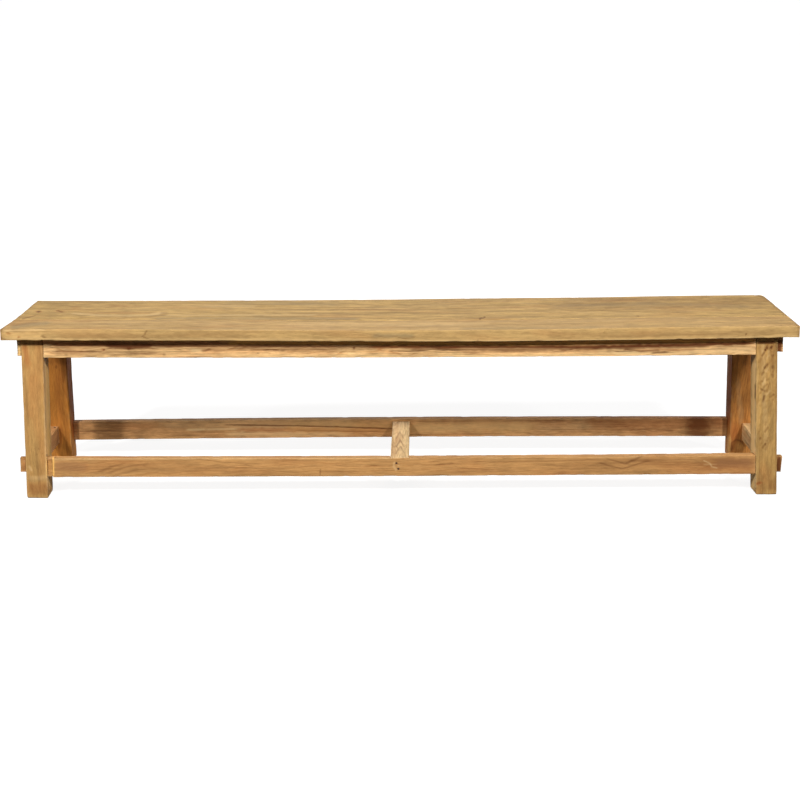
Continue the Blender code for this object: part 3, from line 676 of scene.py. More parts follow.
@dataclass
class Timber:
    """One timber's looks: how worn it is, its colours, and how its growth rings run through it.

    The mesh's step, the arrises' radius, ring, grain and chips are in mm, and the pith's place is in
    metres from the timber's middle. The radius is multiplied by under along the lower arrises and by
    tips at the timber's ends.
    """
    seed: int
    step: float
    arris: float
    light: tuple
    dark: tuple
    ring: float = 5
    pith: tuple = (0.02, -0.06)
    slope: float = 0.0
    figure: float = 0.5
    streaks: float = 0.5
    clouds: float = 0.5
    grain: float = 6
    worn: float = 0.35
    tint: float = 0.25
    mottle: float = 0.5
    cracks: float = 0.3
    chips: float = 0.8
    under: float = 1.0
    tips: float = 1.0

    def grain_place(self, graph, bar):
        """Object coordinates turned so that X runs along the grain, from the timber's middle."""
        middle = bar.placed(bar.size[None] / 2)[0]
        place = graph.vectors("SUBTRACT", graph.add("TexCoord", {}, "Object"), tuple(middle))
        split = graph.add("SeparateXYZ", {0: place}).node.outputs
        order = (bar.axis, *CROSS[bar.axis])
        return graph.add("CombineXYZ", {i: split[axis] for i, axis in enumerate(order)})

    def rings(self, graph, place, own_place):
        """How dark the late wood of each growth ring is."""
        for sizes, amount in BENDS:
            bend = graph.vectors("SUBTRACT", graph.noise(own_place, *sizes, "Color"), (0.5, 0.5, 0.5))
            place = graph.vectors("ADD", place, graph.scaled(bend, amount))
        along, first, second = graph.add("SeparateXYZ", {0: place}).node.outputs
        first = graph.math("MULTIPLY_ADD", along, self.slope, graph.math("SUBTRACT", first, self.pith[0]))
        second = graph.math("SUBTRACT", second, self.pith[1])
        squares = graph.math("ADD", graph.times(first, first), graph.times(second, second))
        phase = graph.math("DIVIDE", graph.math("SQRT", squares), self.ring * MM)
        share = graph.math("FRACT", phase)
        year = graph.add("TexWhiteNoise", {"W": graph.math("FLOOR", phase)}, noise_dimensions="1D")
        late = graph.times(graph.between(share, *LATE_RISE), graph.between(share, *LATE_FALL))
        return graph.times(late, graph.between(year, *YEARS))

    def pattern(self, graph, own_place):
        """The layers of noise, plain and as shares from 0 to 1, and where cracks run."""
        plain, share = {}, {}
        for key, (along, across, detail, roughness, low, high) in LAYERS.items():
            plain[key] = graph.noise(own_place, along, across or self.grain * MM, detail, roughness)
            share[key] = graph.between(plain[key], low, high)
        vein = graph.math("ABSOLUTE", graph.math("SUBTRACT", graph.noise(own_place, *VEINS), 0.5))
        share["crack"] = graph.times(graph.between(vein, *VEIN_EDGES), share["cracked"])
        return plain, share

    def end_grain(self, graph, bar):
        """Where a face is cut across the grain."""
        normal = graph.add("NewGeometry", {}, "True Normal")
        facing = graph.vectors("DOT_PRODUCT", normal, tuple(np.eye(3)[bar.axis]), output=1)
        return graph.between(graph.math("ABSOLUTE", facing), *END_EDGES)

    def material(self, name, bar):
        graph = Graph(bpy.data.materials.new(name))
        place = self.grain_place(graph, bar)
        shift = 1 + sum(map(ord, name)) % SHIFTS
        own_place = graph.vectors("ADD", place, tuple(size * shift for size in OWN_SHIFT))
        late = self.rings(graph, place, own_place)
        plain, share = self.pattern(graph, own_place)
        surface = graph.mix(graph.times(late, self.figure), colour(*self.light), colour(*self.dark))
        changes = {"cloud": CLOUD_SHADE * self.clouds, "streak": STREAK_SHADE * self.streaks,
                   "spot": SPOT_SHADE * self.mottle}
        shade = 1 + sum(changes.values())
        for key, change in changes.items():
            shade = graph.math("MULTIPLY_ADD", share[key], -2 * change, shade)
        top, fall = FIBRE_SHADE
        shade = graph.times(shade, graph.math("MULTIPLY_ADD", share["fibre"], fall, top))
        surface = graph.scaled(surface, shade)
        rubbed = graph.times(graph.attribute("edge"), share["rubbed"])
        for factor, strength, tone in (
                (share["patch"], self.tint, RUST), (share["pore"], PORE_STAIN, STAIN_AND_SHADE),
                (share["crack"], self.cracks, STAIN_AND_SHADE), (rubbed, self.worn, BLEACH_AND_HIGHLIGHT)):
            surface = graph.mix(graph.times(factor, strength), surface, tone)
        # The painted marks: besides stains and wear, DARK paints shade and shadows, PALE paints highlights
        # and light, and WARM and AMBER tint some of that painted shade and light
        marks = graph.attribute("marks", "Color")
        split = graph.add("SeparateColor", {0: marks}).node.outputs
        for factor, tone in ((split[PALE], BLEACH_AND_HIGHLIGHT), (split[WARM], RUST), (marks.node.outputs["Alpha"], ASH),
                             (graph.attribute("amber"), HONEY), (split[DARK], STAIN_AND_SHADE)):
            surface = graph.mix(factor, surface, tone)
        ends = graph.times(self.end_grain(graph, bar), END_STRENGTH)
        surface = graph.mix(ends, surface, graph.scaled(surface, END_SHADE))
        height = graph.times(share["crack"], HEIGHTS["crack"] * self.cracks)
        for key, value in (("late", late), ("fibre", plain["fibre"]), ("pore", share["pore"]),
                           ("streak", plain["streak"])):
            height = graph.math("MULTIPLY_ADD", value, HEIGHTS[key], height)
        graph.feed(graph.nodes["Principled BSDF"], {
            "Base Color": surface, "Roughness": graph.between(plain["streak"], *ROUGHNESS),
            "Specular IOR Level": GLOSS, "Normal": graph.bump(height, BUMP_DEPTH, BUMP_STRENGTH)})
        return graph.owner


# The fasteners' metals: slot, colour, and from which value of the noise on there is rust
METALS = {"screw": ("screw_steel", (120, 108, 98), 0.5), "nail": ("nail_iron", (70, 58, 50), 0.38)}
METAL_RUST, RUST_FULL = colour(96, 52, 30), 0.72
RUST_NOISE, FINE_NOISE = (2 * MM, 2 * MM, 3.0, 0.6), (0.7 * MM, 0.7 * MM, 3.0, 0.6)
METAL_ROUGHNESS, METALLIC, METAL_BUMP = (0.42, 0.85), (0.9, 0.1), (0.15 * MM, 0.6)


def metal(name, base, rust):
    """Dull fastener metal with rust in patches."""
    graph = Graph(bpy.data.materials.new(name))
    place = graph.add("TexCoord", {}, "Object")
    patch = graph.between(graph.noise(place, *RUST_NOISE), rust, RUST_FULL)
    graph.feed(graph.nodes["Principled BSDF"], {
        "Base Color": graph.mix(patch, colour(*base), METAL_RUST),
        "Roughness": graph.between(patch, 0.0, 1.0, *METAL_ROUGHNESS),
        "Metallic": graph.between(patch, 0.0, 1.0, *METALLIC),
        "Normal": graph.bump(graph.noise(place, *FINE_NOISE), *METAL_BUMP)})
    return graph.owner


def finish_fasteners():
    for kind, (slot, base, rust) in METALS.items():
        finish = metal(slot, base, rust)
        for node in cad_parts:
            if kind in node:
                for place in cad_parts[node].material_slots:
                    place.material = finish


TIMBERS = {
    "seat_board_front": Timber(
        1, 3, 2.2, (186, 151, 96), (156, 118, 67), 5, (0.01, -0.075), 0.004, figure=0.22, streaks=0.16,
        clouds=0.5, worn=0.12, tint=0.16, mottle=0.6, cracks=0.2, under=0.4, tips=0.35),
    "seat_board_rear": Timber(
        2, 3.6, 2.2, (187, 152, 92), (150, 113, 59), 5, (0.03, -0.07), 0.01, figure=0.24, streaks=0.2,
        clouds=0.7, worn=0.12, tint=0.16, mottle=0.8, cracks=0.35, under=0.6, tips=0.5),
    "leg_front_left": Timber(
        3, 2, 2, (187, 146, 87), (158, 112, 57), 4, (0.05, -0.02), 0.02, figure=0.35, streaks=0.3,
        clouds=0.6, mottle=0.6, tips=2.1),
    "leg_front_right": Timber(
        4, 1.5, 2.2, (171, 134, 78), (143, 103, 52), 4, (-0.05, -0.03), 0.03, figure=0.3, streaks=0.3,
        clouds=0.6, mottle=0.9, tips=1.9),
    "leg_rear_left": Timber(5, 2.4, 2.2, (187, 122, 52), (152, 90, 33), 5, (0.03, -0.05), 0.02),
    "leg_rear_right": Timber(
        6, 2.4, 2.2, (176, 117, 57), (133, 81, 39), 5, (-0.03, -0.05), -0.02, mottle=0.8),
    "apron_front": Timber(
        7, 1.9, 1.3, (219, 178, 122), (170, 120, 69), 3, (0.03, -0.05), 0.008, figure=0.7, streaks=1.1,
        grain=3.5, mottle=1.1, cracks=1, worn=0.5, chips=0.9),
    "apron_rear": Timber(8, 2.6, 1.5, (204, 164, 110), (160, 114, 66), 3, (-0.03, -0.05), 0.01, mottle=1),
    "end_rail_left": Timber(9, 2.4, 1.5, (190, 148, 96), (154, 108, 62), 4),
    "end_rail_right": Timber(10, 2.4, 1.5, (190, 148, 96), (154, 108, 62), 4),
    "seat_cross_rail_left": Timber(11, 2.4, 1.5, (198, 158, 106), (160, 116, 70), 4),
    "seat_cross_rail_right": Timber(12, 2.4, 1.5, (198, 158, 106), (160, 116, 70), 4),
    "stretcher_front": Timber(
        13, 1.9, 1.1, (186, 139, 85), (152, 102, 54), 4, (0.02, -0.06), 0.05, mottle=0.5),
    "stretcher_rear": Timber(
        14, 2.2, 1.1, (191, 142, 91), (148, 102, 61), 4, (0.03, -0.05), 0.02, mottle=1, cracks=0.5),
    "end_stretcher_left": Timber(15, 2.2, 1.6, (196, 148, 96), (160, 108, 64), 4),
    "end_stretcher_right": Timber(16, 2.2, 1.6, (204, 160, 108), (164, 116, 70), 4),
    "centre_rail": Timber(
        17, 1.8, 1.6, (216, 183, 131), (160, 116, 68), 3, (0, -0.05), 0.1, figure=0.45, mottle=0.4,
        cracks=0.2),
}


# Marks seen in the photograph, in its pixels: stains, knots, cracks and wear, and also painted shadows,
# painted shade and painted highlights

# The clearest cuts, pale scuffs and dark bruises of the right front leg
STROKES = ("765.8,350 767.9,345.8; 762.1,355.8 765.4,350.8; 770,350 771.7,346.7; "
           "762.1,375 763.8,372.1; 763.8,387.5 767.1,384.2; 760.8,388.8 764.6,390.8; "
           "770.4,397.1 773.8,394.6; 765,431.5 768,427.5; 762.5,447.5 765.5,444")
SCUFFS = ("762.4,353 764.4,345.6; 768.2,352.4 770.2,347.4; 766.6,358.5 769.6,354; "
          "763,384 765.6,379.6; 766.2,371.5 768.4,368.6; 767,394.6 769.8,391")
BRUISES = ("764.8,367.5 767,364.5; 763.2,401 764.8,396.5; 772.2,355.4 773,355.2; "
           "772.4,367.4 773.4,366.8; 772.5,375.2 772.5,376.4; 760,439 760.4,438.4")

# Paths that several marks share: the front legs' inner faces, which the marks paint lighter as painted
# light, and the seat's painted shadow on the apron
LEFT_FACE = "45.4,366 46.6,450 48.4,484"
RIGHT_FACE = "753.8,366 752.8,444 752.8,484"
SEAT_SHADOW = "236,343 330,343.4 510,343.7 590,342.6 670,341 750,340"

MARKS = {}
MARKS["seat_board_rear"] = {
    DARK: [(80, 1.9, 0.8, "37.6,311.7 39.4,311.1", 0.4), (65, 1.8, 0.7, "57.6,310.7 62,311.9", 0.4),
           # The next two thin lines are painted shade along the rounded arrises of the board's ends
           (30, 1.3, 1.1, "37,300.9 34,303.4 16.4,317.8"),
           (34, 1.3, 1.1, "756,295.2 765,297.4 771.4,302.8 789.6,317.8"),
           (80, 1.4, 0.9, "480.3,318.9 480.7,317.8", 0.4), (75, 1.2, 0.8, "483.8,317.9 484.4,316.9", 0.4),
           (40, 1.6, 1, "637.8,316.4", 0.2), (16, 10, 1, "170,319.4 345,319.4"),
           (24, 5, 0.8, "82,317.2 120,318 150,317 164,314.2 164,312.4"),
           (45, 1.4, 0.6, "35,315.5 24,318.4 22,320.2 41,320 83,319.9"),
           (20, 12, 0.8, "250,309.3 330,310 372,309.2"),
           (18, 9, 0.7, "300,313.2 400,312.6 470,313.2; 520,311.3 600,310.6 690,311.6"),
           (16, 14, 1.4, "600,300 740,299.5"), (22, 24, 7, "570,305 750,303")],
    PALE: [(30, 8, 0.7, "170,315.2 310,315"), (34, 5, 1, "76,313.4 100,315.3 130,315.7 150,314.6 160,313"),
           (20, 12, 1.3, "210,306 250,306.4")],
    WARM: [(30, 4, 2, "38.5,311.4"), (22, 6, 2.2, "60,311.3"), (16, 6, 2, "76,308")],
    GREY: [(40, 10, 1.6, "160,318.9 250,318.4 350,318.8"), (30, 14, 1.8, "230,303 330,304.5"),
           (30, 14, 2.2, "560,306 650,304 740,306")],
}
MARKS["seat_board_front"] = {
    DARK: [(20, 16, 3, "70,335.5 240,336"), (24, 16, 3, "560,334.5 770,332.5"),
           # The next two thin lines are painted shade along the rounded arrises of the board's ends
           (30, 1.3, 1.1, "13.6,319.8 1.6,328.8 0.6,331"),
           (34, 1.3, 1.1, "791.6,319.4 798.4,325.4 799.2,335.4"), (20, 5, 1.2, "14,325.5 34,322.5"),
           (16, 3, 0.9, "12,331.6 22,332.4"), (14, 3, 0.9, "25,335.2 37,334.2"),
           (40, 1.5, 1, "7.4,332.8 9.8,334", 0.3), (35, 1, 0.9, "19,337"),
           (60, 1.5, 0.9, "42.2,335.8 44.6,337.2", 0.5), (42, 1.4, 1.4, "1.6,337.6 5,339.4"),
           (28, 0.9, 3, "1,332 1.4,338"), (50, 1, 1, "146.4,331 144.4,334.6", 0.3),
           (40, 1.4, 0.8, "142.6,336.4 147.6,338.4"), (55, 1.3, 0.7, "478,339.9"),
           (50, 1.1, 0.9, "605,331.5", 0.4), (65, 1.1, 1, "746,333.6", 0.5),
           (35, 1.6, 0.6, "374,334.5 384,337 396,336 404,338.4 414,337.3"),
           (14, 12, 1.2, "60,337 136,337.6"), (14, 16, 1.1, "180,331.5 360,332"),
           (14, 14, 0.9, "600,335.5 720,333.5")],
    # The second PALE mark is a painted highlight along the top front arris at the left end
    PALE: [(20, 5, 3.4, "7,331 14,334.5 38,335.5"), (34, 6, 0.9, "9,330.6 24,330.4 40,330"),
           (30, 12, 0.6, "10,338.4 150,339.1 310,339.8 450,340.1 510,339.8 590,338.8 670,338 "
            "750,336.3 790,335.7"),
           (16, 20, 1.8, "300,324.5 470,324")],
    WARM: [(45, 1.8, 1.3, "7.6,333 9.6,333.8", 0.4), (90, 1.3, 1.1, "19,337")],
    GREY: [(45, 6, 2.2, "15,327 30,324.5 46,323"), (45, 6, 2.6, "377,335.5 411,335.5"),
           (25, 14, 1.4, "470,328.5 590,327.5")],
    AMBER: [(13, 5, 3.2, "8,333 14,335 38,336")],
}
MARKS["leg_front_left"] = {
    # The first two DARK bands paint the seat's shadow across the leg's top
    DARK: [(50, 4, 1.2, "25,344.4 42,344.6"), (22, 6, 3.5, "25,346.5 42,346.5"),
           (55, 1.2, 0.8, "23,383.7", 0.8), (16, 0.8, 3, "43.6,392 42.8,412 43.4,430"),
           (12, 2, 14, "24,366 26.5,410 29.5,480"), (30, 0.9, 0.9, "34.9,448.8; 38.8,448.8"),
           (28, 0.9, 0.9, "37.1,454.3; 42.7,453.8"), (24, 8, 7, "34,489 46,489"),
           # The mark at 47.2,455.3 is painted shade in the gap above the haunch
           (50, 1.4, 1.6, "47.2,455.3"), (10, 3, 12, "36,430 38,462")],
    # The PALE and WARM marks on LEFT_FACE and the second AMBER mark are painted light on the leg's inner
    # face
    PALE: [(32, 1.6, 1.6, "29.5,466.8 31,470.2", 0.2), (20, 4, 2.6, "31,478 44,477.2"),
           (36, 2.4, 6, LEFT_FACE)],
    WARM: [(40, 4, 7, "24.5,348 28,362"), (28, 8, 7, "34,488 46,488"), (8, 2.4, 6, LEFT_FACE),
           (20, 5, 10, "33,380 31,410")],
    GREY: [(15, 3, 1.8, "30,480.5 46,479.6")],
    AMBER: [(14, 1.4, 8, "41.2,368 42.6,396 42.6,436"), (36, 2.2, 6, "46.9,366 48.3,450 49.6,484"),
            (35, 1.2, 4, "46.8,459 46.8,473")],
}
MARKS["leg_front_right"] = {
    # The first two DARK marks paint the seat's shadow across the leg's top
    DARK: [(85, 4, 2.3, "760,342.9 772,342.5"), (16, 5, 6, "760,347 773,347"),
           (48, 1.4, 1.6, STROKES, 0.12), (42, 1.7, 1.9, BRUISES, 0.1),
           (34, 0.8, 9, "776.6,345 776,418 775.6,486"), (75, 0.7, 3, "755.1,386.5 754.9,396.5", 0.8),
           (30, 1.6, 1, "757.6,484 759.6,483", 0.3), (16, 7, 5, "762,490 773,490"),
           (16, 9, 9, "761,482 772,482")],
    # The marks on RIGHT_FACE and the narrow PALE line along the inner front arris are painted light on the
    # leg's inner face
    PALE: [(20, 1.1, 1.6, SCUFFS), (14, 3, 14, "763,350 766,440"), (80, 2.2, 7, RIGHT_FACE),
           (50, 1, 7, "755.4,362 754.8,378; 755,405 754.8,444 755.2,484")],
    WARM: [(55, 2.6, 1.6, "757.6,484 760,482.6"), (8, 2.2, 7, RIGHT_FACE), (16, 6, 10, "764,470 772,486")],
    AMBER: [(12, 2, 2, STROKES), (34, 2.2, 7, RIGHT_FACE)],
}
MARKS["leg_rear_left"] = {
    # Painted shade: the first DARK band is the seat's shadow across the leg's top, and the fourth the end
    # stretcher's shadow on the leg
    DARK: [(28, 8, 5, "52,360 66,360"), (55, 1.4, 1.8, "56.2,366.8"), (40, 1, 7, "71.2,362 74.4,420"),
           (34, 2, 5, "60.8,429.5 59.4,446"), (22, 1, 8, "62,370 64.5,420"), (24, 5, 9, "67,418 68,446")],
    # The second WARM mark reddens the end stretcher's painted shadow
    WARM: [(85, 2.6, 8, "68.4,358 74.2,432"), (30, 2.4, 6, "61,430 59.4,448"),
           (20, 4, 14, "58,385 60,412")],
}
MARKS["leg_rear_right"] = {
    # Painted shade: the first DARK band is the seat's shadow across the leg's top, the third and the arc
    # below it the end stretcher's shadow
    DARK: [(15, 6, 6, "731,360 748,362"), (14, 2, 10, "730.2,362 728,420"), (25, 2.4, 5, "745,428 742,440"),
           (52, 1.1, 1.1, "731.4,450 732,442.5 737,439.6 742,442 744.8,446")],
    PALE: [(12, 3, 10, "738,385 741,416")],
    # The second WARM mark reddens the end stretcher's painted shadow
    WARM: [(80, 2.4, 10, "730.2,362 728,420"), (30, 5, 6, "734,428 734,444")],
    # The second AMBER mark is a painted patch of light below the end stretcher
    AMBER: [(35, 1.6, 5, "729.4,439 728.6,449"), (14, 4.5, 4, "738.5,446.5")],
}
MARKS["apron_front"] = {
    # Painted shadow of the seat's overhang: the long bands near the apron's top edge, rows 343 to 349, in
    # this list's first, third, fourth and fifth marks
    DARK: [(34, 14, 1.9, "60,346.6 150,348 330,348.6 510,349.4 600,348.2 740,345.4"),
           (88, 3.2, 5, "779.6,343 779.6,350"), (75, 12, 1.4, "60,345 150,345.6 330,346.4 430,346.8"),
           (82, 12, 1.5, "440,346.6 510,347 590,346.8 670,345.1 745,343.3"),
           (40, 10, 2, "104,343 140,343.2"), (32, 14, 5, "60,352 150,353"),
           (14, 14, 4, "610,352 745,350.5"), (70, 1.2, 0.9, "104,349.8", 0.5),
           (55, 7, 2.4, "112,346.5 134,347.4 148,346"), (55, 2.4, 1.5, "128.5,348.6"),
           (45, 2.2, 1.4, "164,354.4"), (30, 2.5, 2.2, "66,355.5"), (55, 9, 0.55, "64,351.2 95,351.8", 0.5),
           (35, 9, 0.6, "140,353.4 188,352.2", 0.4), (50, 2.6, 1.2, "203,350.8 209,349.6"),
           (45, 12, 0.55, "212,350.4 280,350.8", 0.5), (55, 8, 0.55, "282,352.2 352,351.8", 0.6),
           (45, 1.6, 1.6, "354,348.2", 0.4), (65, 6, 0.6, "393,351.2 407,351.6 421,351", 0.7),
           (40, 9, 0.6, "432,352.2 520,351.8", 0.5), (35, 14, 1.8, "420,349.4 520,349.8 585,349"),
           (28, 10, 1.4, "236,349.2 330,349.4"), (45, 10, 1.6, "600,348.4 700,346.8"),
           (55, 5, 1.1, "628,349.6 641,351.2 656,350.4", 0.4), (60, 4, 1.2, "655,353 665,352.4", 0.4),
           (40, 7, 0.55, "676,350.6 722,348.8", 0.4)],
    PALE: [(80, 1.7, 4, "19.4,347 19.4,353.5"), (45, 4, 2.6, "193,350.5 199,351"),
           (30, 16, 1.4, "176,354.8 300,355.2 420,355.8 560,355 740,352"), (40, 3, 1.5, "266,354.5"),
           (50, 5, 1.6, "616,353.2 636,352.4"), (35, 10, 1.6, "690,350.5 750,349.4")],
    # The first four WARM bands redden the seat's painted shadow near the apron's top edge
    WARM: [(80, 12, 1.6, "380,346.6 510,346.8 590,346.6 670,345 745,343.2"),
           (40, 12, 1.6, "60,345 150,345.6 330,346.4"), (30, 12, 2.2, SEAT_SHADOW),
           (62, 12, 2, "40,342.7 150,343 330,343.6 510,343.8 590,343.2 670,341.8 750,340.2"),
           (80, 2.8, 4, "779.4,343 779.4,350"), (60, 2.4, 1.5, "103.5,349.6"), (45, 3, 1.3, "380,349.2"),
           (35, 8, 1.6, "640,350 690,349.6"), (22, 12, 3, "210,351 330,352; 470,352 590,351")],
    GREY: [(30, 4, 2, "192,349.5 199,349.8")],
    # The second AMBER band, along SEAT_SHADOW, is part of the seat's painted shadow
    AMBER: [(38, 1.7, 4, "19.4,347 19.4,353.5"), (72, 12, 2.2, SEAT_SHADOW)],
}
MARKS["stretcher_front"] = {
    DARK: [(10, 2.6, 4, "49.3,461 49.3,472"), (92, 3.2, 5, "778.6,461 778.4,468.5"),
           # The broad DARK and WARM marks towards the right end are painted shade where less light falls
           (14, 14, 8, "712,464 748,463"), (45, 0.8, 2, "320.2,470 320,475", 0.8),
           (40, 5, 0.7, "322,471.4 345,472.2 356,472", 0.5), (35, 4, 0.6, "100,471.5 112,466.5 124,463.5"),
           (30, 4, 0.6, "108,473.5 122,468 138,465"), (26, 4, 0.6, "118,474.5 136,470 156,468.5"),
           (24, 5, 0.6, "200,459 222,462 250,463.5 276,463"), (30, 3, 0.6, "430,462 442,461", 0.3),
           (32, 3, 0.6, "436,465 452,463.4", 0.3), (38, 3, 0.6, "608,459 626,464 641,456.5", 0.3),
           (34, 3, 0.6, "600,463 622,469 648,461"), (22, 12, 0.8, "500,462 590,459.5"),
           (22, 9, 0.8, "636,461 690,459.5"), (15, 24, 10, "590,464 740,462")],
    PALE: [(35, 1.4, 1.4, "24.5,461.5"), (65, 0.8, 0.7, "704,460.8 710,463.4 712,466.8 717,468"),
           (35, 2, 0.6, "705,464.5 716,464.5"), (30, 1.3, 1.2, "394.6,462.5 393.6,466 396,470", 0.2),
           (30, 1.2, 0.8, "398.5,465.5"), (24, 14, 0.8, "60,459 200,458.6 390,457.9")],
    WARM: [(36, 2.6, 4, "49.3,461 49.3,472"), (28, 2.8, 4, "24,460 24,470"),
           (50, 2.8, 4, "778.5,461 778.4,468.5"), (34, 9, 6, "62,466 82,467; 722,464 746,463"),
           (14, 14, 8, "712,464 748,463")],
    GREY: [(22, 9, 6, "62,466 80,467"), (26, 9, 6, "722,464 746,463")],
    AMBER: [(22, 2.2, 4, "49.5,463 49.5,471"), (85, 1.1, 4, "53.2,460 53.2,473.5")],
}
MARKS["stretcher_rear"] = {
    DARK: [(35, 3, 0.7, "74,431.6 94,431.5", 0.4), (50, 5, 0.6, "90,430.8 128,431.2", 0.4),
           (85, 10, 0.7, "232,425 292,425.8 340,427 388,428.8", 0.7),
           (32, 10, 0.7, "300,430.8 378,431.8", 0.4), (40, 8, 0.7, "414,434.9 500,433.9", 0.4),
           (28, 10, 0.9, "425,421.6 560,420.4"), (12, 20, 12, "84,426 190,425"),
           # The DARK marks centred at x 112, 698.5 and 718 paint the shadows that the front legs cast here,
           # and the broad band from x 600 to 716 darkens towards the right one
           (20, 13, 10, "112,419 112,434"), (42, 11, 10, "698.5,418 698.5,434"),
           (22, 5, 10, "718,420 718,434"), (14, 14, 9, "600,423 716,422"), (22, 9, 1.2, "560,430 660,429")],
    PALE: [(62, 3.5, 1.1, "189,429.8 203,429.4"), (52, 3.5, 0.9, "209,429.6 234,429"),
           (18, 20, 6, "180,425 340,424"), (10, 20, 8, "250,427 520,425"), (30, 12, 3, "236,434 340,434"),
           (14, 16, 6, "424,426 520,425"), (12, 14, 5, "545,427 600,426")],
    # The first WARM mark is painted shade beside the rear left leg, and the ones from x 600 on redden the
    # right front leg's painted shadow
    WARM: [(40, 1.8, 5, "75.4,422 75.4,432"), (28, 12, 3, "250,430 380,430"),
           (12, 20, 9, "250,427 385,426"), (20, 20, 4, "420,422 520,421"),
           (40, 11, 10, "698.5,418 698.5,434"), (34, 14, 9, "600,423 716,422")],
    # The GREY band is painted shade on the top face under the seat
    GREY: [(35, 14, 0.9, "130,419.6 380,417.6")],
    AMBER: [(14, 20, 8, "300,428 520,427")],
}
MARKS["end_stretcher_left"] = {
    # Painted shade on the inner face, and a dark line of shade where it meets the rear leg
    DARK: [(14, 6, 8, "55,436 55,450"), (40, 1.6, 4, "58.6,430 57.6,446")],
    WARM: [(30, 6, 8, "55,436 55,448")],
}
MARKS["end_stretcher_right"] = {
    # The broad DARK mark is painted shade on the inner face, and the broad PALE mark painted light on the
    # lit top
    DARK: [(16, 6, 6, "746,436 752,446"), (30, 0.8, 0.7, "745,440 750,448; 746,431 751,440")],
    PALE: [(35, 4, 5, "747,428 750,436"), (40, 0.8, 0.7, "744,428 750,436; 742,434 748,443")],
}
MARKS["centre_rail"] = {
    DARK: [(40, 0.9, 0.8, "396.2,446.5 400.2,440 404,446.5", 0.4),
           (36, 0.9, 0.8, "395.8,453 400.4,446.3 404.6,453", 0.4),
           # The two long thin lines at x 392 and 408 are painted shade along the rail's sides
           (30, 0.9, 0.8, "396.4,438 400,432 403.6,438", 0.3), (24, 0.8, 6, "392.8,424 392.2,455"),
           (20, 0.8, 6, "408,424 408.8,455"), (40, 2, 0.5, "398.5,458.4 408.5,458.4")],
}

# Hollows of the right front leg: seed, count, left, right, top, bottom, strength and depth
GOUGES = ((41, 90, 758.5, 774.5, 345, 402, 48, 0.1), (42, 10, 758.5, 774, 403, 422, 30, 0.1),
          (43, 22, 757.5, 770, 422, 456, 42, 0.1), (44, 9, 758.5, 774, 458, 486, 26, 0.1))
GOUGE_GAP = 3.3
GOUGE_RUN, GOUGE_RISE = (0.3, 1.2), (0.4, 1.8)
GOUGE_WIDTH, GOUGE_HEIGHT = (1.0, 2.0), (1.0, 2.1)
GOUGE_SHARES, GOUGE_AMBER = (0.35, 1.0), 0.3


def gouge(seed, count, left, right, top, bottom, strength, depth):
    """Add short slanting olive brown hollows to a part of the leg, none on top of another."""
    chance = np.random.default_rng(seed)
    kept = []
    for _ in range(count):
        x, y = chance.uniform(left, right), chance.uniform(top, bottom)
        run, rise = chance.uniform(*GOUGE_RUN), chance.uniform(*GOUGE_RISE)
        size = (chance.uniform(*GOUGE_WIDTH), chance.uniform(*GOUGE_HEIGHT))
        share = chance.uniform(*GOUGE_SHARES)
        if any(math.hypot(x - other[0], y - other[1]) < GOUGE_GAP for other in kept):
            continue
        kept.append((x, y))
        stroke = f"{x - run},{y + rise} {x + run},{y - rise}"
        leg = MARKS["leg_front_right"]
        leg[DARK].append((strength * share, *size, stroke, depth * share))
        leg[AMBER].append((GOUGE_AMBER * strength * share, *size, stroke))


for patch in GOUGES:
    gouge(*patch)


# Studio

AMBIENT = 0.035
BOUNCE = (1.0, 0.66, 0.40, 1.0)
LIT_PLACE = Vector((0.0, 0.0, 0.3))
FLOOR_HALF = 120.0
FLOOR_GLOW = (1.2, 3.2, 0.86, 1.0)
FLOOR_PAINT = (0.30, 0.30, 0.30, 1.0)
FLOOR_DIM = (0.08, 0.08, 0.08, 1.0)

# Each lamp's place, its width and height, and how brightly it lights a surface that faces it
LAMPS = {
    "key_left": ((-2.27, -3.14, 3.05), (0.25, 0.8), 0.68),
    "key_right": ((2.03, -3.21, 3.15), (0.25, 0.8), 0.67),
    "side_left": ((-5.0, -3.2, 3.1), (0.5, 0.8), 0.17),
    "side_right": ((5.0, -3.2, 3.1), (0.5, 0.8), 0.17),
    "back": ((0.0, 5.0, 3.2), (5.0, 1.5), 0.42),
}


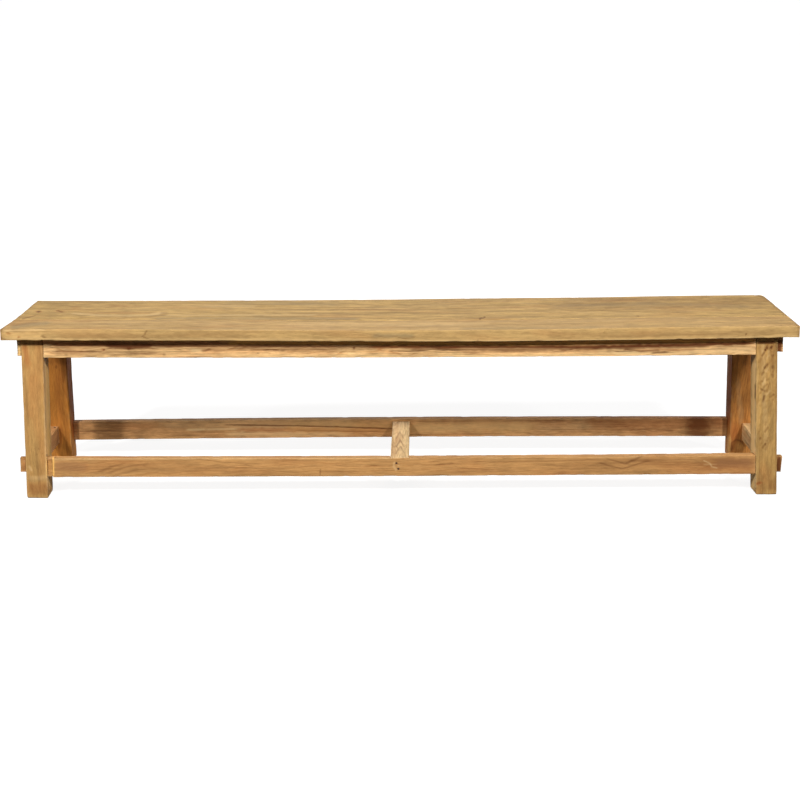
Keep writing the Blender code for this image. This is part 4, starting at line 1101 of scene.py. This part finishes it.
def make_lamp(name, place, size, strength):
    """An area lamp turned to the bench; strength 1 lights a surface that faces it to white."""
    place = Vector(place)
    travel = (LIT_PLACE - place).normalized()
    data = bpy.data.lights.new(name, "AREA")
    data.shape = "RECTANGLE"
    data.size, data.size_y = size
    data.energy = strength * math.pi ** 2 * (LIT_PLACE - place).length_squared
    side = travel.cross(Vector((0, 0, 1))).normalized()
    turn = Matrix((side, side.cross(travel), -travel)).transposed()
    lamp = linked(name, data)
    lamp.matrix_world = Matrix.Translation(place) @ turn.to_4x4()
    lamp.visible_camera = False


def make_studio():
    """Two tall softboxes in front, a weak one at each side and a wide one behind, in a dim warm world.

    What the camera sees of the world is white.
    """
    for name, lamp in LAMPS.items():
        make_lamp(name, *lamp)
    world = bpy.data.worlds.new("studio")
    bpy.context.scene.world = world
    graph = Graph(world)
    path = graph.add("LightPath", {}).node.outputs
    seen = graph.math("MAXIMUM", path["Is Camera Ray"], path["Is Transmission Ray"])
    level = graph.add("MapRange", {"Value": seen, "To Min": AMBIENT, "To Max": 1.0})
    graph.feed(graph.nodes["Background"], {"Strength": level, "Color": graph.mix(seen, BOUNCE, WHITE)})


def make_floor():
    """A pale floor that keeps the bench's soft shadow and runs out to white."""
    corners = FLOOR_HALF * np.array([(-1, -1, 0), (1, -1, 0), (1, 1, 0), (-1, 1, 0)], float)
    floor = linked("floor", plain_mesh(corners, np.array([[0, 1, 2, 3]])))
    graph = Graph(bpy.data.materials.new("pale_floor"))
    graph.nodes.remove(graph.nodes["Principled BSDF"])
    distance = graph.vectors("LENGTH", graph.add("TexCoord", {}, "Object"), output=1)
    glow = graph.between(distance, *FLOOR_GLOW)
    emission = graph.add("Emission", {"Color": WHITE, "Strength": glow})
    paint = graph.add("BsdfDiffuse", {"Color": FLOOR_PAINT})
    shown = graph.add("AddShader", {0: emission, 1: paint})
    dim = graph.add("BsdfDiffuse", {"Color": FLOOR_DIM})
    path = graph.add("LightPath", {}).node.outputs
    seen = graph.math("MAXIMUM", path["Is Camera Ray"], path["Is Glossy Ray"])
    mixed = graph.add("MixShader", {0: seen, 1: dim, 2: shown})
    graph.feed(graph.nodes["Material Output"], {"Surface": mixed})
    floor.data.materials.append(graph.owner)


make_camera()
make_bench()
finish_fasteners()
make_studio()
make_floor()
bpy.context.scene.view_settings.view_transform = "Standard"
